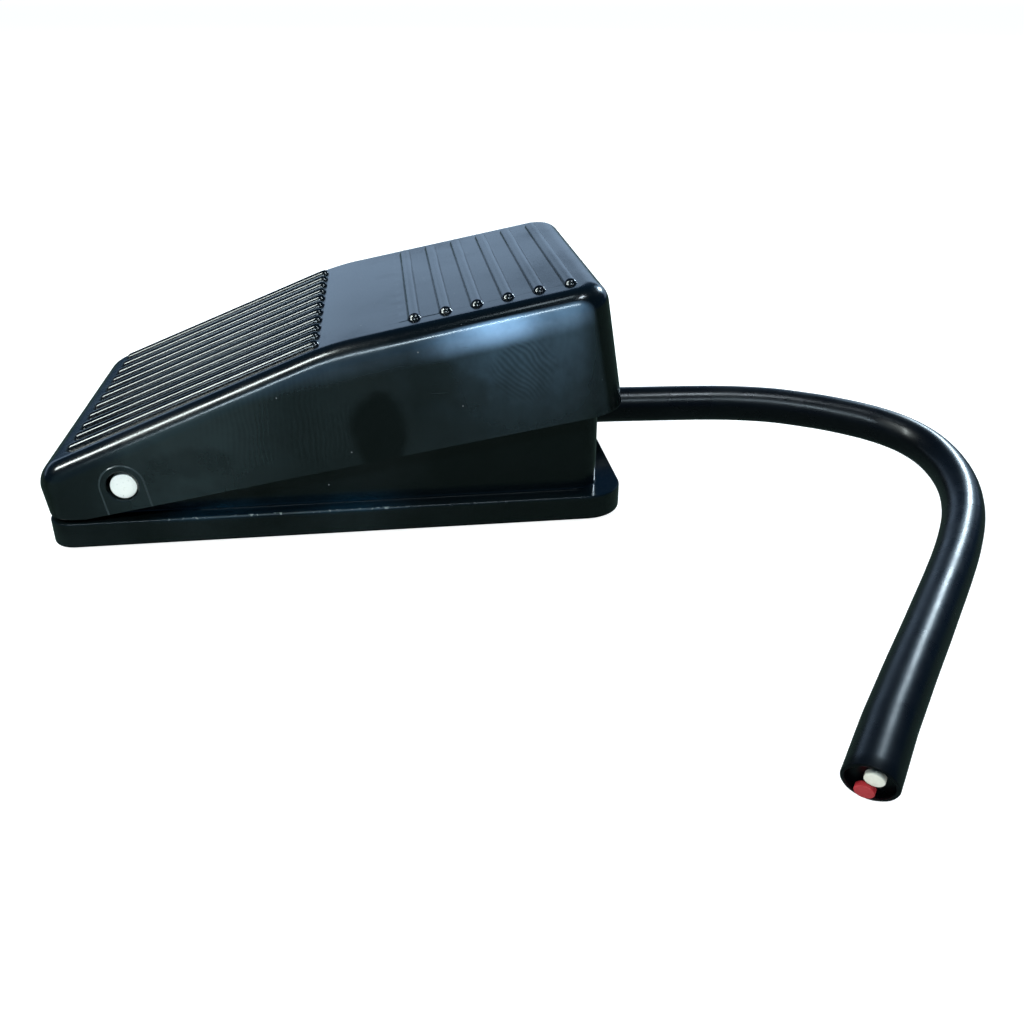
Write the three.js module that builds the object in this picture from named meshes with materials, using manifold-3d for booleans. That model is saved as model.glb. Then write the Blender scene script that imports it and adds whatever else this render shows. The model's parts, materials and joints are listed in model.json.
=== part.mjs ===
// Foot switch pedal: a wedge-shaped ribbed cover hinged on a steel pin over a
// flanged base, with a return spring and a snap-action switch inside.
// Millimetres. +X runs from the hinge end to the cable end, +Z is up, and the
// origin is the middle of the footprint, on the surface that the pedal stands on.

import * as THREE from 'three';
import { mergeVertices } from 'three/addons/utils/BufferGeometryUtils.js';
import Module from 'manifold-3d';

const wasm = await Module();
wasm.setup();

// ---------------------------------------------------------------- dimensions

const GAP = 0.3; // clearance between neighbouring pieces
const DEGREE = Math.PI / 180;

const SOLE = { length: 92, width: 56, thickness: 1.5, radius: 4 };
const SOLE_PROUD = 0.6; // the sole stands this far below the flange

const FLANGE = {
  front: -50, rear: 50, half: 32.2, frontRadius: 4.5, rearRadius: 7, thickness: 4.5,
};
const FLANGE_TOP = SOLE_PROUD + FLANGE.thickness;

const PIN = { x: -36.4, z: 11.5, radius: 2.25, halfLength: 31.4 };
const REST_TILT = 9.3 * DEGREE; // the cover at rest, above its pressed position

// The cover is drawn pressed flat, then raised about the pin.
const COVER = {
  front: -50.9, rear: 50.1, half: 31.8, frontRadius: 5, rearRadius: 6.5,
  bottom: 6.8, wall: 2.2, rim: 3.7, sideDraft: 0.2, frontDraft: 0.1,
};
const RAMP = { x: -45.3, z: 17.3, slope: 0.217 };
const DECK = { slope: 0.028, breakX: 2.2, breakHalf: 4.5 };
const RELIEF_X = -43.9; // ahead of this the lower edge is level at rest
const PIN_HOLE_RADIUS = 2.65;
const CABLE_NOTCH = { half: 5, top: 14.6 };

const RIB = { radius: 1.25, lift: -0.4, sides: 8 };
const LONG_RIBS = { count: 11, pitch: 5.0, front: -44.3, rear: -0.5 };
const CROSS_RIBS = { count: 6, pitch: 5.4, first: 17.1, half: 24.3 };

const BOX = {
  front: -42.5, rear: 45.7, half: 28.5, frontRadius: 3, rearRadius: 4,
  wall: 2.3, floor: 4, headroom: 1.2,
};
const PIN_BOSS = { radius: 4.4, length: 4.2 };

const CABLE = { radius: 3.5, z: 10.2, exitX: 47.6, tailEnd: 33.5, sides: 10 };
const GROMMET = { holeRadius: 4.8, outsideRadius: 5.1, insideRadius: 5.8, flange: 1.4 };
const CLAMP = { x: 38.7, length: 5.6, screwY: 8.4, earTop: 10.4, padTop: 6.4 };

const SWITCH = {
  rear: 18.3, length: 27.8, height: 15.9, bottom: 4.3,
  y: -16, case: 7.4, lid: 2.6, holePitch: 22.2, holeZ: 12.8,
};
const LEVER = { pivotX: 16.8, pivotZ: 21.4, length: 26.6, width: 4.4, thickness: 0.6, nose: 0.7 };
const LEVER_REST = 10 * DEGREE; // free end up
const PLUNGER = { x: 11.2, half: 1.4 };
const BLADE = { length: 6.3, width: 6.2, thickness: 0.8, hole: 0.8 };
const SLEEVE = { length: 9, width: 8, height: 3.2, front: SWITCH.rear + 1.9 };
const BRACKET = { thickness: 1.2, front: -9, rear: 18, top: 20, padTop: 6.5, footWidth: 9 };

const SPRING = { x: 9, y: 12, radius: 5.2, wire: 0.55, turns: 7, stepsPerTurn: 14 };

const SCREW = { radius: 1.5, headRadius: 2.7, head: 1.7 };

// The free cable: out of the rear wall, round to the front, and cut off there.
const CABLE_ROUTE = [
  [47.6, 0, 10.2], [53.5, -0.1, 10.2], [59.7, -0.5, 10.2], [66, -0.9, 10.2], [72.1, -1.4, 10.2],
  [77.3, -2, 10.15], [82.3, -2.9, 10.05], [87.2, -4.2, 9.9], [91.9, -5.9, 9.6], [96.4, -7.9, 9.3],
  [100.8, -10.3, 8.9], [104.8, -12.9, 8.4], [108, -16.1, 7.9], [110.3, -19.5, 7.3],
  [111.6, -24.1, 6.7], [111.7, -29.9, 6], [110.5, -36.2, 5.4], [108.3, -42.3, 4.8],
  [104.9, -48.9, 4.4], [99.6, -57.1, 3.95], [93.8, -65.1, 3.65], [88.2, -72.5, 3.5], [82.7, -79.8, 3.5],
  [77.2, -87, 3.5], [72.1, -93.8, 3.5], [68.3, -98.9, 3.5], [65, -103.6, 3.5], [61.5, -108.5, 3.5],
];
const CORE = { radius: 1.25, length: 1.0 };
const CORE_OFFSETS = { white: [-0.45, 0.9], red: [0.45, -1.5] }; // sideways, up

// ----------------------------------------------------------------- materials

const finish = (color, roughness, metalness = 0) =>
  new THREE.MeshStandardMaterial({ color, roughness, metalness });

const MATERIALS = {
  coverPlastic: finish(0x0a0e14, 0.22),
  basePlastic: finish(0x0b0f14, 0.28),
  rubber: finish(0x0c0d0e, 0.75),
  cableJacket: finish(0x07090c, 0.3),
  redWire: finish(0xa8242c, 0.45),
  whiteWire: finish(0xd9d8d0, 0.45),
  pinSteel: finish(0xd6d6cf, 0.3, 1),
  springSteel: finish(0x9a9c9e, 0.35, 1),
  zincSteel: finish(0xb4b6b8, 0.4, 1),
  brass: finish(0xb08d4a, 0.35, 1),
  switchCase: finish(0x1b1c1e, 0.5),
  switchLid: finish(0x2a2b2d, 0.5),
  plunger: finish(0x8e2620, 0.45),
  nylon: finish(0xbdbcb4, 0.5),
};

// ------------------------------------------------------------- solid helpers

const MERGE_TOLERANCE = 1e-4;

function toSolid(geometry) {
  geometry.deleteAttribute('normal');
  geometry.deleteAttribute('uv');
  const merged = mergeVertices(geometry, MERGE_TOLERANCE);
  return new wasm.Manifold(new wasm.Mesh({
    numProp: 3,
    vertProperties: merged.attributes.position.array,
    triVerts: Uint32Array.from(merged.index.array),
  }));
}

function toGeometry(solid) {
  const { vertProperties, triVerts } = solid.getMesh();
  const geometry = new THREE.BufferGeometry();
  geometry.setAttribute('position', new THREE.BufferAttribute(vertProperties, 3));
  geometry.setIndex(new THREE.BufferAttribute(triVerts, 1));
  return geometry;
}

function block(x0, x1, y0, y1, z0, z1) {
  const geometry = new THREE.BoxGeometry(x1 - x0, y1 - y0, z1 - z0);
  geometry.translate((x0 + x1) / 2, (y0 + y1) / 2, (z0 + z1) / 2);
  return toSolid(geometry);
}

// A cylinder between two heights along an axis, 'x', 'y' or 'z'; `a` and `b`
// are its other two coordinates in alphabetical order.
function rod(axis, radius, from, to, a, b, sides = 24) {
  const geometry = new THREE.CylinderGeometry(radius, radius, to - from, sides);
  geometry.translate(0, (from + to) / 2, 0);
  if (axis === 'x') {
    geometry.rotateZ(-Math.PI / 2);
    geometry.translate(0, a, b);
  } else if (axis === 'y') {
    geometry.translate(a, 0, b);
  } else {
    geometry.rotateX(Math.PI / 2);
    geometry.translate(a, b, 0);
  }
  return toSolid(geometry);
}

// An outline of [x, y] points raised from z0 to z1.
function plate(points, z0, z1) {
  const shape = new THREE.Shape(points.map(([x, y]) => new THREE.Vector2(x, y)));
  const geometry = new THREE.ExtrudeGeometry(shape, { depth: z1 - z0, bevelEnabled: false });
  geometry.translate(0, 0, z0);
  return toSolid(geometry);
}

// An outline of [x, z] points carried across from y0 to y1.
function sideways(points, y0, y1) {
  const shape = new THREE.Shape(points.map(([x, z]) => new THREE.Vector2(x, z)));
  const geometry = new THREE.ExtrudeGeometry(shape, { depth: y1 - y0, bevelEnabled: false });
  geometry.rotateX(Math.PI / 2);
  geometry.translate(0, y1, 0);
  return toSolid(geometry);
}

// An outline of [y, z] points carried along from x0 to x1.
function lengthways(points, x0, x1) {
  const shape = new THREE.Shape(points.map(([y, z]) => new THREE.Vector2(y, z)));
  const geometry = new THREE.ExtrudeGeometry(shape, { depth: x1 - x0, bevelEnabled: false });
  geometry.rotateX(Math.PI / 2);
  geometry.rotateZ(Math.PI / 2);
  geometry.translate(x0, 0, 0);
  return toSolid(geometry);
}

function arc(cx, cy, radius, fromDegrees, toDegrees, steps) {
  return Array.from({ length: steps + 1 }, (_, i) => {
    const angle = (fromDegrees + ((toDegrees - fromDegrees) * i) / steps) * DEGREE;
    return [cx + radius * Math.cos(angle), cy + radius * Math.sin(angle)];
  });
}

// The near half of a rounded rectangle seen from above, from the middle of its
// front edge to the middle of its rear edge, with extra stations on its side.
function planHalf({ front, rear, half, frontRadius, rearRadius }, stations = [], steps = 6) {
  return [
    ...arc(front + frontRadius, frontRadius - half, frontRadius, 180, 270, steps),
    ...stations.map((x) => [x, -half]),
    ...arc(rear - rearRadius, rearRadius - half, rearRadius, 270, 360, steps),
  ];
}

function planOutline(plan, steps = 6) {
  const near = planHalf(plan, [], steps);
  const far = near.map(([x, y]) => [x, -y]).reverse();
  return [...near, ...far];
}

function inset(plan, amount) {
  return {
    front: plan.front + amount,
    rear: plan.rear - amount,
    half: plan.half - amount,
    frontRadius: Math.max(plan.frontRadius - amount, 0.5),
    rearRadius: Math.max(plan.rearRadius - amount, 0.5),
  };
}

// A closed skin through rings of points. Each ring runs along the near side and
// back along the far side, so its ends close with strips straight across.
function loft(rings) {
  const count = rings[0].length;
  const positions = rings.flat(2);
  const index = [];
  for (let r = 0; r + 1 < rings.length; r += 1) {
    for (let i = 0; i < count; i += 1) {
      const a = r * count + i;
      const b = r * count + ((i + 1) % count);
      index.push(a, b, b + count, a, b + count, a + count);
    }
  }
  const last = (rings.length - 1) * count;
  for (let i = 0; i + 1 < count / 2; i += 1) {
    const mirrored = count - 1 - i;
    index.push(i, mirrored, mirrored - 1, i, mirrored - 1, i + 1);
    index.push(last + i, last + i + 1, last + mirrored - 1);
    index.push(last + i, last + mirrored - 1, last + mirrored);
  }
  const geometry = new THREE.BufferGeometry();
  geometry.setAttribute('position', new THREE.BufferAttribute(Float32Array.from(positions), 3));
  geometry.setIndex(index);
  return toSolid(geometry);
}

// A round tube of `sides` flats along a smooth curve through the points.
function tube(points, radius, sides, steps) {
  const curve = new THREE.CatmullRomCurve3(points.map((p) => new THREE.Vector3(...p)));
  const section = new THREE.Shape(
    arc(0, 0, radius, 0, 360, sides).slice(0, sides).map(([x, y]) => new THREE.Vector2(x, y)),
  );
  return toSolid(new THREE.ExtrudeGeometry(section, { steps, extrudePath: curve }));
}

// A pan-head screw standing on z = 0 with its shank down and a cross in its head.
function panScrew(shank) {
  const { radius, headRadius, head } = SCREW;
  const profile = [
    [0, -shank], [radius * 0.6, -shank], [radius, -shank + radius], [radius, 0],
    [headRadius, 0], [headRadius, head * 0.5], [headRadius * 0.75, head * 0.9], [0, head],
  ];
  const geometry = new THREE.LatheGeometry(profile.map(([x, y]) => new THREE.Vector2(x, y)), 16);
  geometry.rotateX(Math.PI / 2);
  const cross = block(-1.5, 1.5, -0.3, 0.3, head * 0.4, head + 1)
    .add(block(-0.3, 0.3, -1.5, 1.5, head * 0.4, head + 1));
  return toSolid(geometry).subtract(cross);
}

// ------------------------------------------------------------ cover profiles

// Height of the cover's top, pressed flat: a ramp, a short curve and the deck.
function coverTop(x) {
  const deckAtBreak = RAMP.z + RAMP.slope * (DECK.breakX - RAMP.x);
  const start = DECK.breakX - DECK.breakHalf;
  const end = DECK.breakX + DECK.breakHalf;
  if (x <= start) return RAMP.z + RAMP.slope * (x - RAMP.x);
  if (x >= end) return deckAtBreak + DECK.slope * (x - DECK.breakX);
  const slopeChange = (DECK.slope - RAMP.slope) / (end - start);
  const run = x - start;
  return RAMP.z + RAMP.slope * (x - RAMP.x) + (slopeChange * run * run) / 2;
}

function coverBottom(x) {
  return COVER.bottom + Math.max(0, RELIEF_X - x) * Math.tan(REST_TILT);
}

const BREAK_STATIONS = [-1, -0.33, 0.33, 1].map((t) => DECK.breakX + t * DECK.breakHalf);
const SIDE_STATIONS = [RELIEF_X, -30, -15, ...BREAK_STATIONS, 20, 35];

function coverRing(plan, height) {
  const near = planHalf(plan, SIDE_STATIONS).map(([x, y]) => [x, y, height(x)]);
  const far = near.map(([x, y, z]) => [x, -y, z]).reverse();
  return [...near, ...far];
}

// The rear wall stands straight, the sides and the front lean in a little.
function draftedPlan(amount) {
  const plan = inset(COVER, amount);
  return {
    ...plan,
    front: plan.front + COVER.frontDraft,
    half: plan.half - COVER.sideDraft,
  };
}

function coverOuter() {
  const steps = 5;
  const rings = [
    coverRing(COVER, coverBottom),
    coverRing(draftedPlan(0), (x) => coverTop(x) - COVER.rim),
  ];
  for (let i = 1; i <= steps; i += 1) {
    const turn = (i / steps) * (Math.PI / 2);
    const amount = COVER.rim * (1 - Math.cos(turn));
    const drop = COVER.rim * (1 - Math.sin(turn));
    rings.push(coverRing(draftedPlan(amount), (x) => coverTop(x) - drop));
  }
  return loft(rings);
}

function coverInner() {
  const below = 3;
  const rings = [
    coverRing(inset(COVER, COVER.wall), (x) => coverBottom(x) - below),
    coverRing(draftedPlan(COVER.wall), (x) => coverTop(x) - COVER.wall - 1.2),
    coverRing(draftedPlan(COVER.wall + 1.2), (x) => coverTop(x) - COVER.wall),
  ];
  return loft(rings);
}

// A rounded rib from one point to another with a ball at each end.
function rib(from, to) {
  const start = new THREE.Vector3(...from);
  const end = new THREE.Vector3(...to);
  const length = start.distanceTo(end);
  const geometry = new THREE.CapsuleGeometry(RIB.radius, length, 2, RIB.sides);
  const turn = new THREE.Quaternion().setFromUnitVectors(
    new THREE.Vector3(0, 1, 0),
    end.clone().sub(start).normalize(),
  );
  geometry.applyQuaternion(turn);
  geometry.translate(...start.add(end).multiplyScalar(0.5).toArray());
  return toSolid(geometry);
}

function longRibs() {
  const middle = (LONG_RIBS.count - 1) / 2;
  return Array.from({ length: LONG_RIBS.count }, (_, i) => {
    const y = (i - middle) * LONG_RIBS.pitch;
    const z = (x) => coverTop(x) + RIB.lift;
    return rib([LONG_RIBS.front, y, z(LONG_RIBS.front)], [LONG_RIBS.rear, y, z(LONG_RIBS.rear) - 0.1]);
  });
}

function crossRibs() {
  return Array.from({ length: CROSS_RIBS.count }, (_, i) => {
    const x = CROSS_RIBS.first + i * CROSS_RIBS.pitch;
    const z = coverTop(x) + RIB.lift;
    return rib([x, -CROSS_RIBS.half, z], [x, CROSS_RIBS.half, z]);
  });
}

// A point given with the cover at rest, put back to where it is when pressed.
function restToPressed(x, z) {
  const dx = x - PIN.x;
  const dz = z - PIN.z;
  const cos = Math.cos(REST_TILT);
  const sin = Math.sin(REST_TILT);
  return [PIN.x + dx * cos + dz * sin, PIN.z - dx * sin + dz * cos];
}

// Top of the lever's rolled nose at rest, where the cover's post meets it.
const noseReach = LEVER.length - LEVER.nose;
const leverNose = {
  x: LEVER.pivotX - noseReach * Math.cos(LEVER_REST),
  z: LEVER.pivotZ + noseReach * Math.sin(LEVER_REST) + 2 * LEVER.nose,
};

// The post under the ramp that pushes the switch lever.
function actuatorPost() {
  const [x, z] = restToPressed(leverNose.x + 0.5, leverNose.z + GAP);
  return block(x - 1.5, x + 1.5, SWITCH.y - 2.5, SWITCH.y + 2.5, z, coverTop(x - 1.5) - 1);
}

function springSpigot() {
  const [x] = restToPressed(SPRING.x, 32);
  return rod('z', 3.4, coverTop(x) - 5.5, coverTop(x) - 1, x, SPRING.y, 16);
}

function pedalCover() {
  let cover = coverOuter().subtract(coverInner());
  for (const each of [...longRibs(), ...crossRibs()]) cover = cover.add(each);
  cover = cover.add(actuatorPost()).add(springSpigot());
  cover = cover.subtract(rod('y', PIN_HOLE_RADIUS, -40, 40, PIN.x, PIN.z));
  const { half, top } = CABLE_NOTCH;
  const notch = block(40, 60, -half, half, 0, top - half)
    .add(rod('x', half, 40, 60, 0, top - half, 16));
  return cover.subtract(notch);
}

// ---------------------------------------------------------------------- base

function boxProfile() {
  const limit = (x) => coverTop(x) - COVER.wall - BOX.headroom;
  const boss = arc(PIN.x, PIN.z, PIN_BOSS.radius, 170, 110, 4);
  return [
    [BOX.front, FLANGE_TOP - 1], [BOX.rear, FLANGE_TOP - 1], [BOX.rear, limit(BOX.rear)],
    [DECK.breakX + 2, limit(DECK.breakX + 2)], [-31, limit(-31)],
    ...boss.reverse(), [BOX.front, PIN.z - 1],
  ];
}

function boxShell() {
  const inner = planOutline(inset(BOX, BOX.wall), 3);
  return sideways(boxProfile(), -BOX.half, BOX.half)
    .intersect(plate(planOutline(BOX, 4), 0, 40))
    .subtract(plate(inner, BOX.floor, 40));
}

const BRACKET_SCREWS = [-3, 12].map((x) => [x, SWITCH.y + 11]);

function basePads() {
  const { x, length, screwY, padTop } = CLAMP;
  const pads = BRACKET_SCREWS.map(([px, py]) => rod('z', 3.4, 3, BRACKET.padTop, px, py, 16));
  pads.push(block(x - length / 2, x + length / 2, -screwY - 3, screwY + 3, 3, padTop));
  pads.push(rod('z', 3.4, 3, 7.5, SPRING.x, SPRING.y, 16));
  for (const side of [-1, 1]) {
    const wallInside = BOX.half - BOX.wall;
    const from = Math.min(side * (wallInside + 1), side * (wallInside - PIN_BOSS.length));
    const to = Math.max(side * (wallInside + 1), side * (wallInside - PIN_BOSS.length));
    pads.push(rod('y', PIN_BOSS.radius, from, to, PIN.x, PIN.z, 20));
  }
  return pads;
}

function baseHoles() {
  const screwHole = SCREW.radius + GAP;
  const recess = {
    front: -SOLE.length / 2 - GAP, rear: SOLE.length / 2 + GAP, half: SOLE.width / 2 + GAP,
    frontRadius: SOLE.radius, rearRadius: SOLE.radius,
  };
  const holes = BRACKET_SCREWS.map(([x, y]) => rod('z', screwHole, 2.6, 8, x, y, 12));
  for (const side of [-1, 1]) {
    holes.push(rod('z', screwHole, 2.6, 8, CLAMP.x, side * CLAMP.screwY, 12));
  }
  holes.push(rod('y', PIN.radius + GAP, -40, 40, PIN.x, PIN.z));
  holes.push(rod('x', GROMMET.holeRadius, 40, 60, 0, CABLE.z));
  holes.push(plate(planOutline(recess, 4), -1, SOLE.thickness + GAP));
  return holes;
}

function baseHousing() {
  let base = plate(planOutline(FLANGE), SOLE_PROUD, FLANGE_TOP);
  base = base.subtract(plate(planOutline(inset(BOX, BOX.wall), 3), BOX.floor, 10));
  base = base.add(boxShell());
  for (const pad of basePads()) base = base.add(pad);
  for (const hole of baseHoles()) base = base.subtract(hole);
  return base;
}

function rubberSole() {
  const outline = {
    front: -SOLE.length / 2, rear: SOLE.length / 2, half: SOLE.width / 2,
    frontRadius: SOLE.radius, rearRadius: SOLE.radius,
  };
  return plate(planOutline(outline, 4), 0, SOLE.thickness);
}

// A turned pin along Y with a small chamfer at each end.
function hingePin() {
  const { radius, halfLength } = PIN;
  const chamfer = 0.35;
  const profile = [
    [0, -halfLength], [radius - chamfer, -halfLength], [radius, -halfLength + chamfer],
    [radius, halfLength - chamfer], [radius - chamfer, halfLength], [0, halfLength],
  ];
  const geometry = new THREE.LatheGeometry(profile.map(([x, y]) => new THREE.Vector2(x, y)), 24);
  geometry.translate(PIN.x, 0, PIN.z);
  return toSolid(geometry);
}

// ------------------------------------------------------------- return spring

const SPRING_BOTTOM = BOX.floor + GAP;

// Where the spring's axis meets the underside of the cover at rest.
function springTop() {
  const steps = 40;
  for (let i = 0; i <= steps; i += 1) {
    const z = 28 + i * 0.2;
    const [x, pressedZ] = restToPressed(SPRING.x, z);
    if (pressedZ >= coverTop(x) - COVER.wall) return z - 1.6;
  }
  return 32;
}

function returnSpring() {
  const { radius, wire, turns, stepsPerTurn } = SPRING;
  const bottom = SPRING_BOTTOM + wire;
  const top = springTop() - wire;
  const closed = 0.9; // height taken by each closed end turn
  const count = turns * stepsPerTurn;
  const points = Array.from({ length: count + 1 }, (_, i) => {
    const turn = (i / stepsPerTurn) * 2 * Math.PI;
    const rise = i / stepsPerTurn;
    const open = (top - bottom - 2 * closed) / (turns - 2);
    let z = bottom + closed * Math.min(rise, 1) + open * Math.max(0, Math.min(rise, turns - 1) - 1);
    z += closed * Math.max(0, rise - (turns - 1));
    return [SPRING.x + radius * Math.cos(turn), SPRING.y + radius * Math.sin(turn), z];
  });
  return tube(points, wire, 6, count);
}

// -------------------------------------------------------- snap-action switch

const switchFront = SWITCH.rear - SWITCH.length;
const switchTop = SWITCH.bottom + SWITCH.height;
const caseNear = SWITCH.y - (SWITCH.case + SWITCH.lid + GAP) / 2;
const caseFar = caseNear + SWITCH.case;
const lidFar = caseFar + GAP + SWITCH.lid;
const switchHoles = [-1, 1].map((side) => [
  (switchFront + SWITCH.rear) / 2 + (side * SWITCH.holePitch) / 2,
  SWITCH.bottom + SWITCH.holeZ,
]);

function drilled(solid, holes, radius) {
  let result = solid;
  for (const [x, z] of holes) result = result.subtract(rod('y', radius, -40, 10, x, z, 12));
  return result;
}

function switchCase() {
  const body = block(switchFront, SWITCH.rear, caseNear, caseFar, SWITCH.bottom, switchTop);
  const well = block(
    PLUNGER.x - PLUNGER.half - GAP, PLUNGER.x + PLUNGER.half + GAP,
    SWITCH.y - PLUNGER.half - GAP, caseFar + 1, switchTop - 6, switchTop + 1,
  );
  const hinge = block(
    LEVER.pivotX - 1.5, SWITCH.rear, caseNear, SWITCH.y - LEVER.width / 2 - GAP,
    switchTop - 1, switchTop + 2,
  );
  return drilled(body.subtract(well).add(hinge), switchHoles, SCREW.radius + GAP);
}

function switchLid() {
  const body = block(switchFront, SWITCH.rear, caseFar + GAP, lidFar, SWITCH.bottom, switchTop);
  return drilled(body, switchHoles, SCREW.radius + GAP);
}

function switchPlunger() {
  const { x, half } = PLUNGER;
  const leverUnder = LEVER.pivotZ + (LEVER.pivotX - x - half) * Math.tan(LEVER_REST);
  return block(x - half, x + half, SWITCH.y - half, SWITCH.y + half, switchTop - 4, leverUnder - GAP);
}

// A flat strip from its pivot curl to a rolled free end, raised at rest.
function switchLever() {
  const { pivotX, pivotZ, width, thickness, nose } = LEVER;
  const strip = block(-noseReach, 0, -width / 2, width / 2, 0, thickness);
  const curl = rod('y', 0.8, -width / 2, width / 2, 0, thickness / 2, 12);
  const roll = rod('y', nose, -width / 2, width / 2, -noseReach, nose, 12);
  const geometry = toGeometry(strip.add(curl).add(roll));
  geometry.rotateY(LEVER_REST);
  geometry.translate(pivotX, SWITCH.y, pivotZ);
  return toSolid(geometry);
}

// A push-on blade with its locking hole, lying along X from a face.
function blade(fromX, side, z) {
  const toX = fromX + side * BLADE.length;
  const x0 = Math.min(fromX, toX);
  const x1 = Math.max(fromX, toX);
  const halfWidth = BLADE.width / 2;
  const halfThickness = BLADE.thickness / 2;
  const flat = block(
    x0, x1, SWITCH.y - halfWidth, SWITCH.y + halfWidth, z - halfThickness, z + halfThickness,
  );
  return flat.subtract(rod('z', BLADE.hole, z - 2, z + 2, (x0 + x1) / 2 + side, SWITCH.y, 10));
}

// An insulated push-on sleeve around a blade, open towards the switch.
function sleeve(z) {
  const { length, width, height, front } = SLEEVE;
  const halfHeight = height / 2;
  const slotHalfWidth = BLADE.width / 2 + GAP;
  const slotHalfHeight = BLADE.thickness / 2 + GAP;
  const outer = block(
    front, front + length, SWITCH.y - width / 2, SWITCH.y + width / 2, z - halfHeight, z + halfHeight,
  );
  const slot = block(
    front - 1, front + BLADE.length - 1, SWITCH.y - slotHalfWidth, SWITCH.y + slotHalfWidth,
    z - slotHalfHeight, z + slotHalfHeight,
  );
  return outer.subtract(slot);
}

// Heights of the three terminals.
const BLADES = {
  common: SWITCH.bottom + 3.7, closed: SWITCH.bottom + 7.5, open: SWITCH.bottom + 10.7,
};

function switchBracket() {
  const near = lidFar + GAP;
  const far = near + BRACKET.thickness;
  const { front, rear, top, padTop, footWidth, thickness } = BRACKET;
  const foot = padTop + GAP;
  const upright = block(front, rear, near, far, foot, top);
  const sole = block(front, rear, near, far + footWidth, foot, foot + thickness);
  let bracket = drilled(upright.add(sole), switchHoles, SCREW.radius + GAP);
  for (const [x, y] of BRACKET_SCREWS) {
    bracket = bracket.subtract(rod('z', SCREW.radius + GAP, foot - 1, foot + 3, x, y, 12));
  }
  return bracket;
}

// --------------------------------------------------------- cable and its fit

const rearInside = BOX.rear - BOX.wall;

function grommet() {
  const { holeRadius, outsideRadius, insideRadius, flange } = GROMMET;
  const inner = holeRadius - GAP;
  const body = rod('x', inner, rearInside - GAP - flange, BOX.rear + GAP + flange, 0, CABLE.z, 20);
  const outside = rod('x', outsideRadius, BOX.rear + GAP, BOX.rear + GAP + flange, 0, CABLE.z, 20);
  const inside = rod('x', insideRadius, rearInside - GAP - flange, rearInside - GAP, 0, CABLE.z, 20);
  return body.add(outside).add(inside).subtract(rod('x', CABLE.radius + GAP, 30, 60, 0, CABLE.z, 20));
}

function cableTail() {
  return rod('x', CABLE.radius, CABLE.tailEnd, CABLE.exitX - GAP, 0, CABLE.z, 16);
}

function cableClamp() {
  const { x, length, screwY, earTop, padTop } = CLAMP;
  const bottom = padTop + GAP;
  const inside = CABLE.radius + GAP;
  const outline = [
    [-screwY - 2.8, bottom], [-inside, bottom], ...arc(0, CABLE.z, inside, 180, 0, 8),
    [inside, bottom], [screwY + 2.8, bottom], [screwY + 2.8, earTop], [5.4, earTop],
    ...arc(0, CABLE.z, 5.2, 20, 160, 6), [-5.4, earTop], [-screwY - 2.8, earTop],
  ];
  let clamp = lengthways(outline, x - length / 2, x + length / 2);
  for (const side of [-1, 1]) {
    clamp = clamp.subtract(rod('z', SCREW.radius + GAP, 0, 20, x, side * screwY, 12));
  }
  return clamp;
}

// The last stretch of the free cable gives the direction that its cores face.
function coreEnd(sidewaysOffset, up) {
  const count = CABLE_ROUTE.length;
  const end = new THREE.Vector3(...CABLE_ROUTE[count - 1]);
  const along = end.clone().sub(new THREE.Vector3(...CABLE_ROUTE[count - 2])).normalize();
  const across = new THREE.Vector3().crossVectors(along, new THREE.Vector3(0, 0, 1)).normalize();
  const from = end.clone().addScaledVector(along, GAP).addScaledVector(across, sidewaysOffset);
  from.z += up;
  const to = from.clone().addScaledVector(along, CORE.length);
  return tube([from.toArray(), to.toArray()], CORE.radius, 12, 1);
}

// ------------------------------------------------------------------ assembly

const pedal = new THREE.Group();

// The moving cover: a frame at the pin, raised, holding the pressed drawing.
const raised = new THREE.Group();
raised.position.set(PIN.x, 0, PIN.z);
raised.rotation.y = -REST_TILT;
pedal.add(raised);
const pressed = new THREE.Group();
pressed.position.set(-PIN.x, 0, -PIN.z);
raised.add(pressed);

function addPart(name, solid, material, parent = pedal) {
  const mesh = new THREE.Mesh(toGeometry(solid), material);
  mesh.name = name;
  parent.add(mesh);
  return mesh;
}

addPart('pedal_cover', pedalCover(), MATERIALS.coverPlastic, pressed);
addPart('base_housing', baseHousing(), MATERIALS.basePlastic);
addPart('rubber_sole', rubberSole(), MATERIALS.rubber);
addPart('hinge_pin', hingePin(), MATERIALS.pinSteel);
addPart('return_spring', returnSpring(), MATERIALS.springSteel);

addPart('switch_case', switchCase(), MATERIALS.switchCase);
addPart('switch_lid', switchLid(), MATERIALS.switchLid);
addPart('switch_plunger', switchPlunger(), MATERIALS.plunger);
addPart('switch_lever', switchLever(), MATERIALS.zincSteel);
addPart('blade_common', blade(SWITCH.rear + GAP, 1, BLADES.common), MATERIALS.brass);
addPart('blade_normally_open', blade(SWITCH.rear + GAP, 1, BLADES.open), MATERIALS.brass);
addPart('blade_normally_closed', blade(switchFront - GAP, -1, BLADES.closed), MATERIALS.brass);
addPart('sleeve_common', sleeve(BLADES.common), MATERIALS.nylon);
addPart('sleeve_normally_open', sleeve(BLADES.open), MATERIALS.nylon);
addPart('switch_bracket', switchBracket(), MATERIALS.zincSteel);

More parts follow.
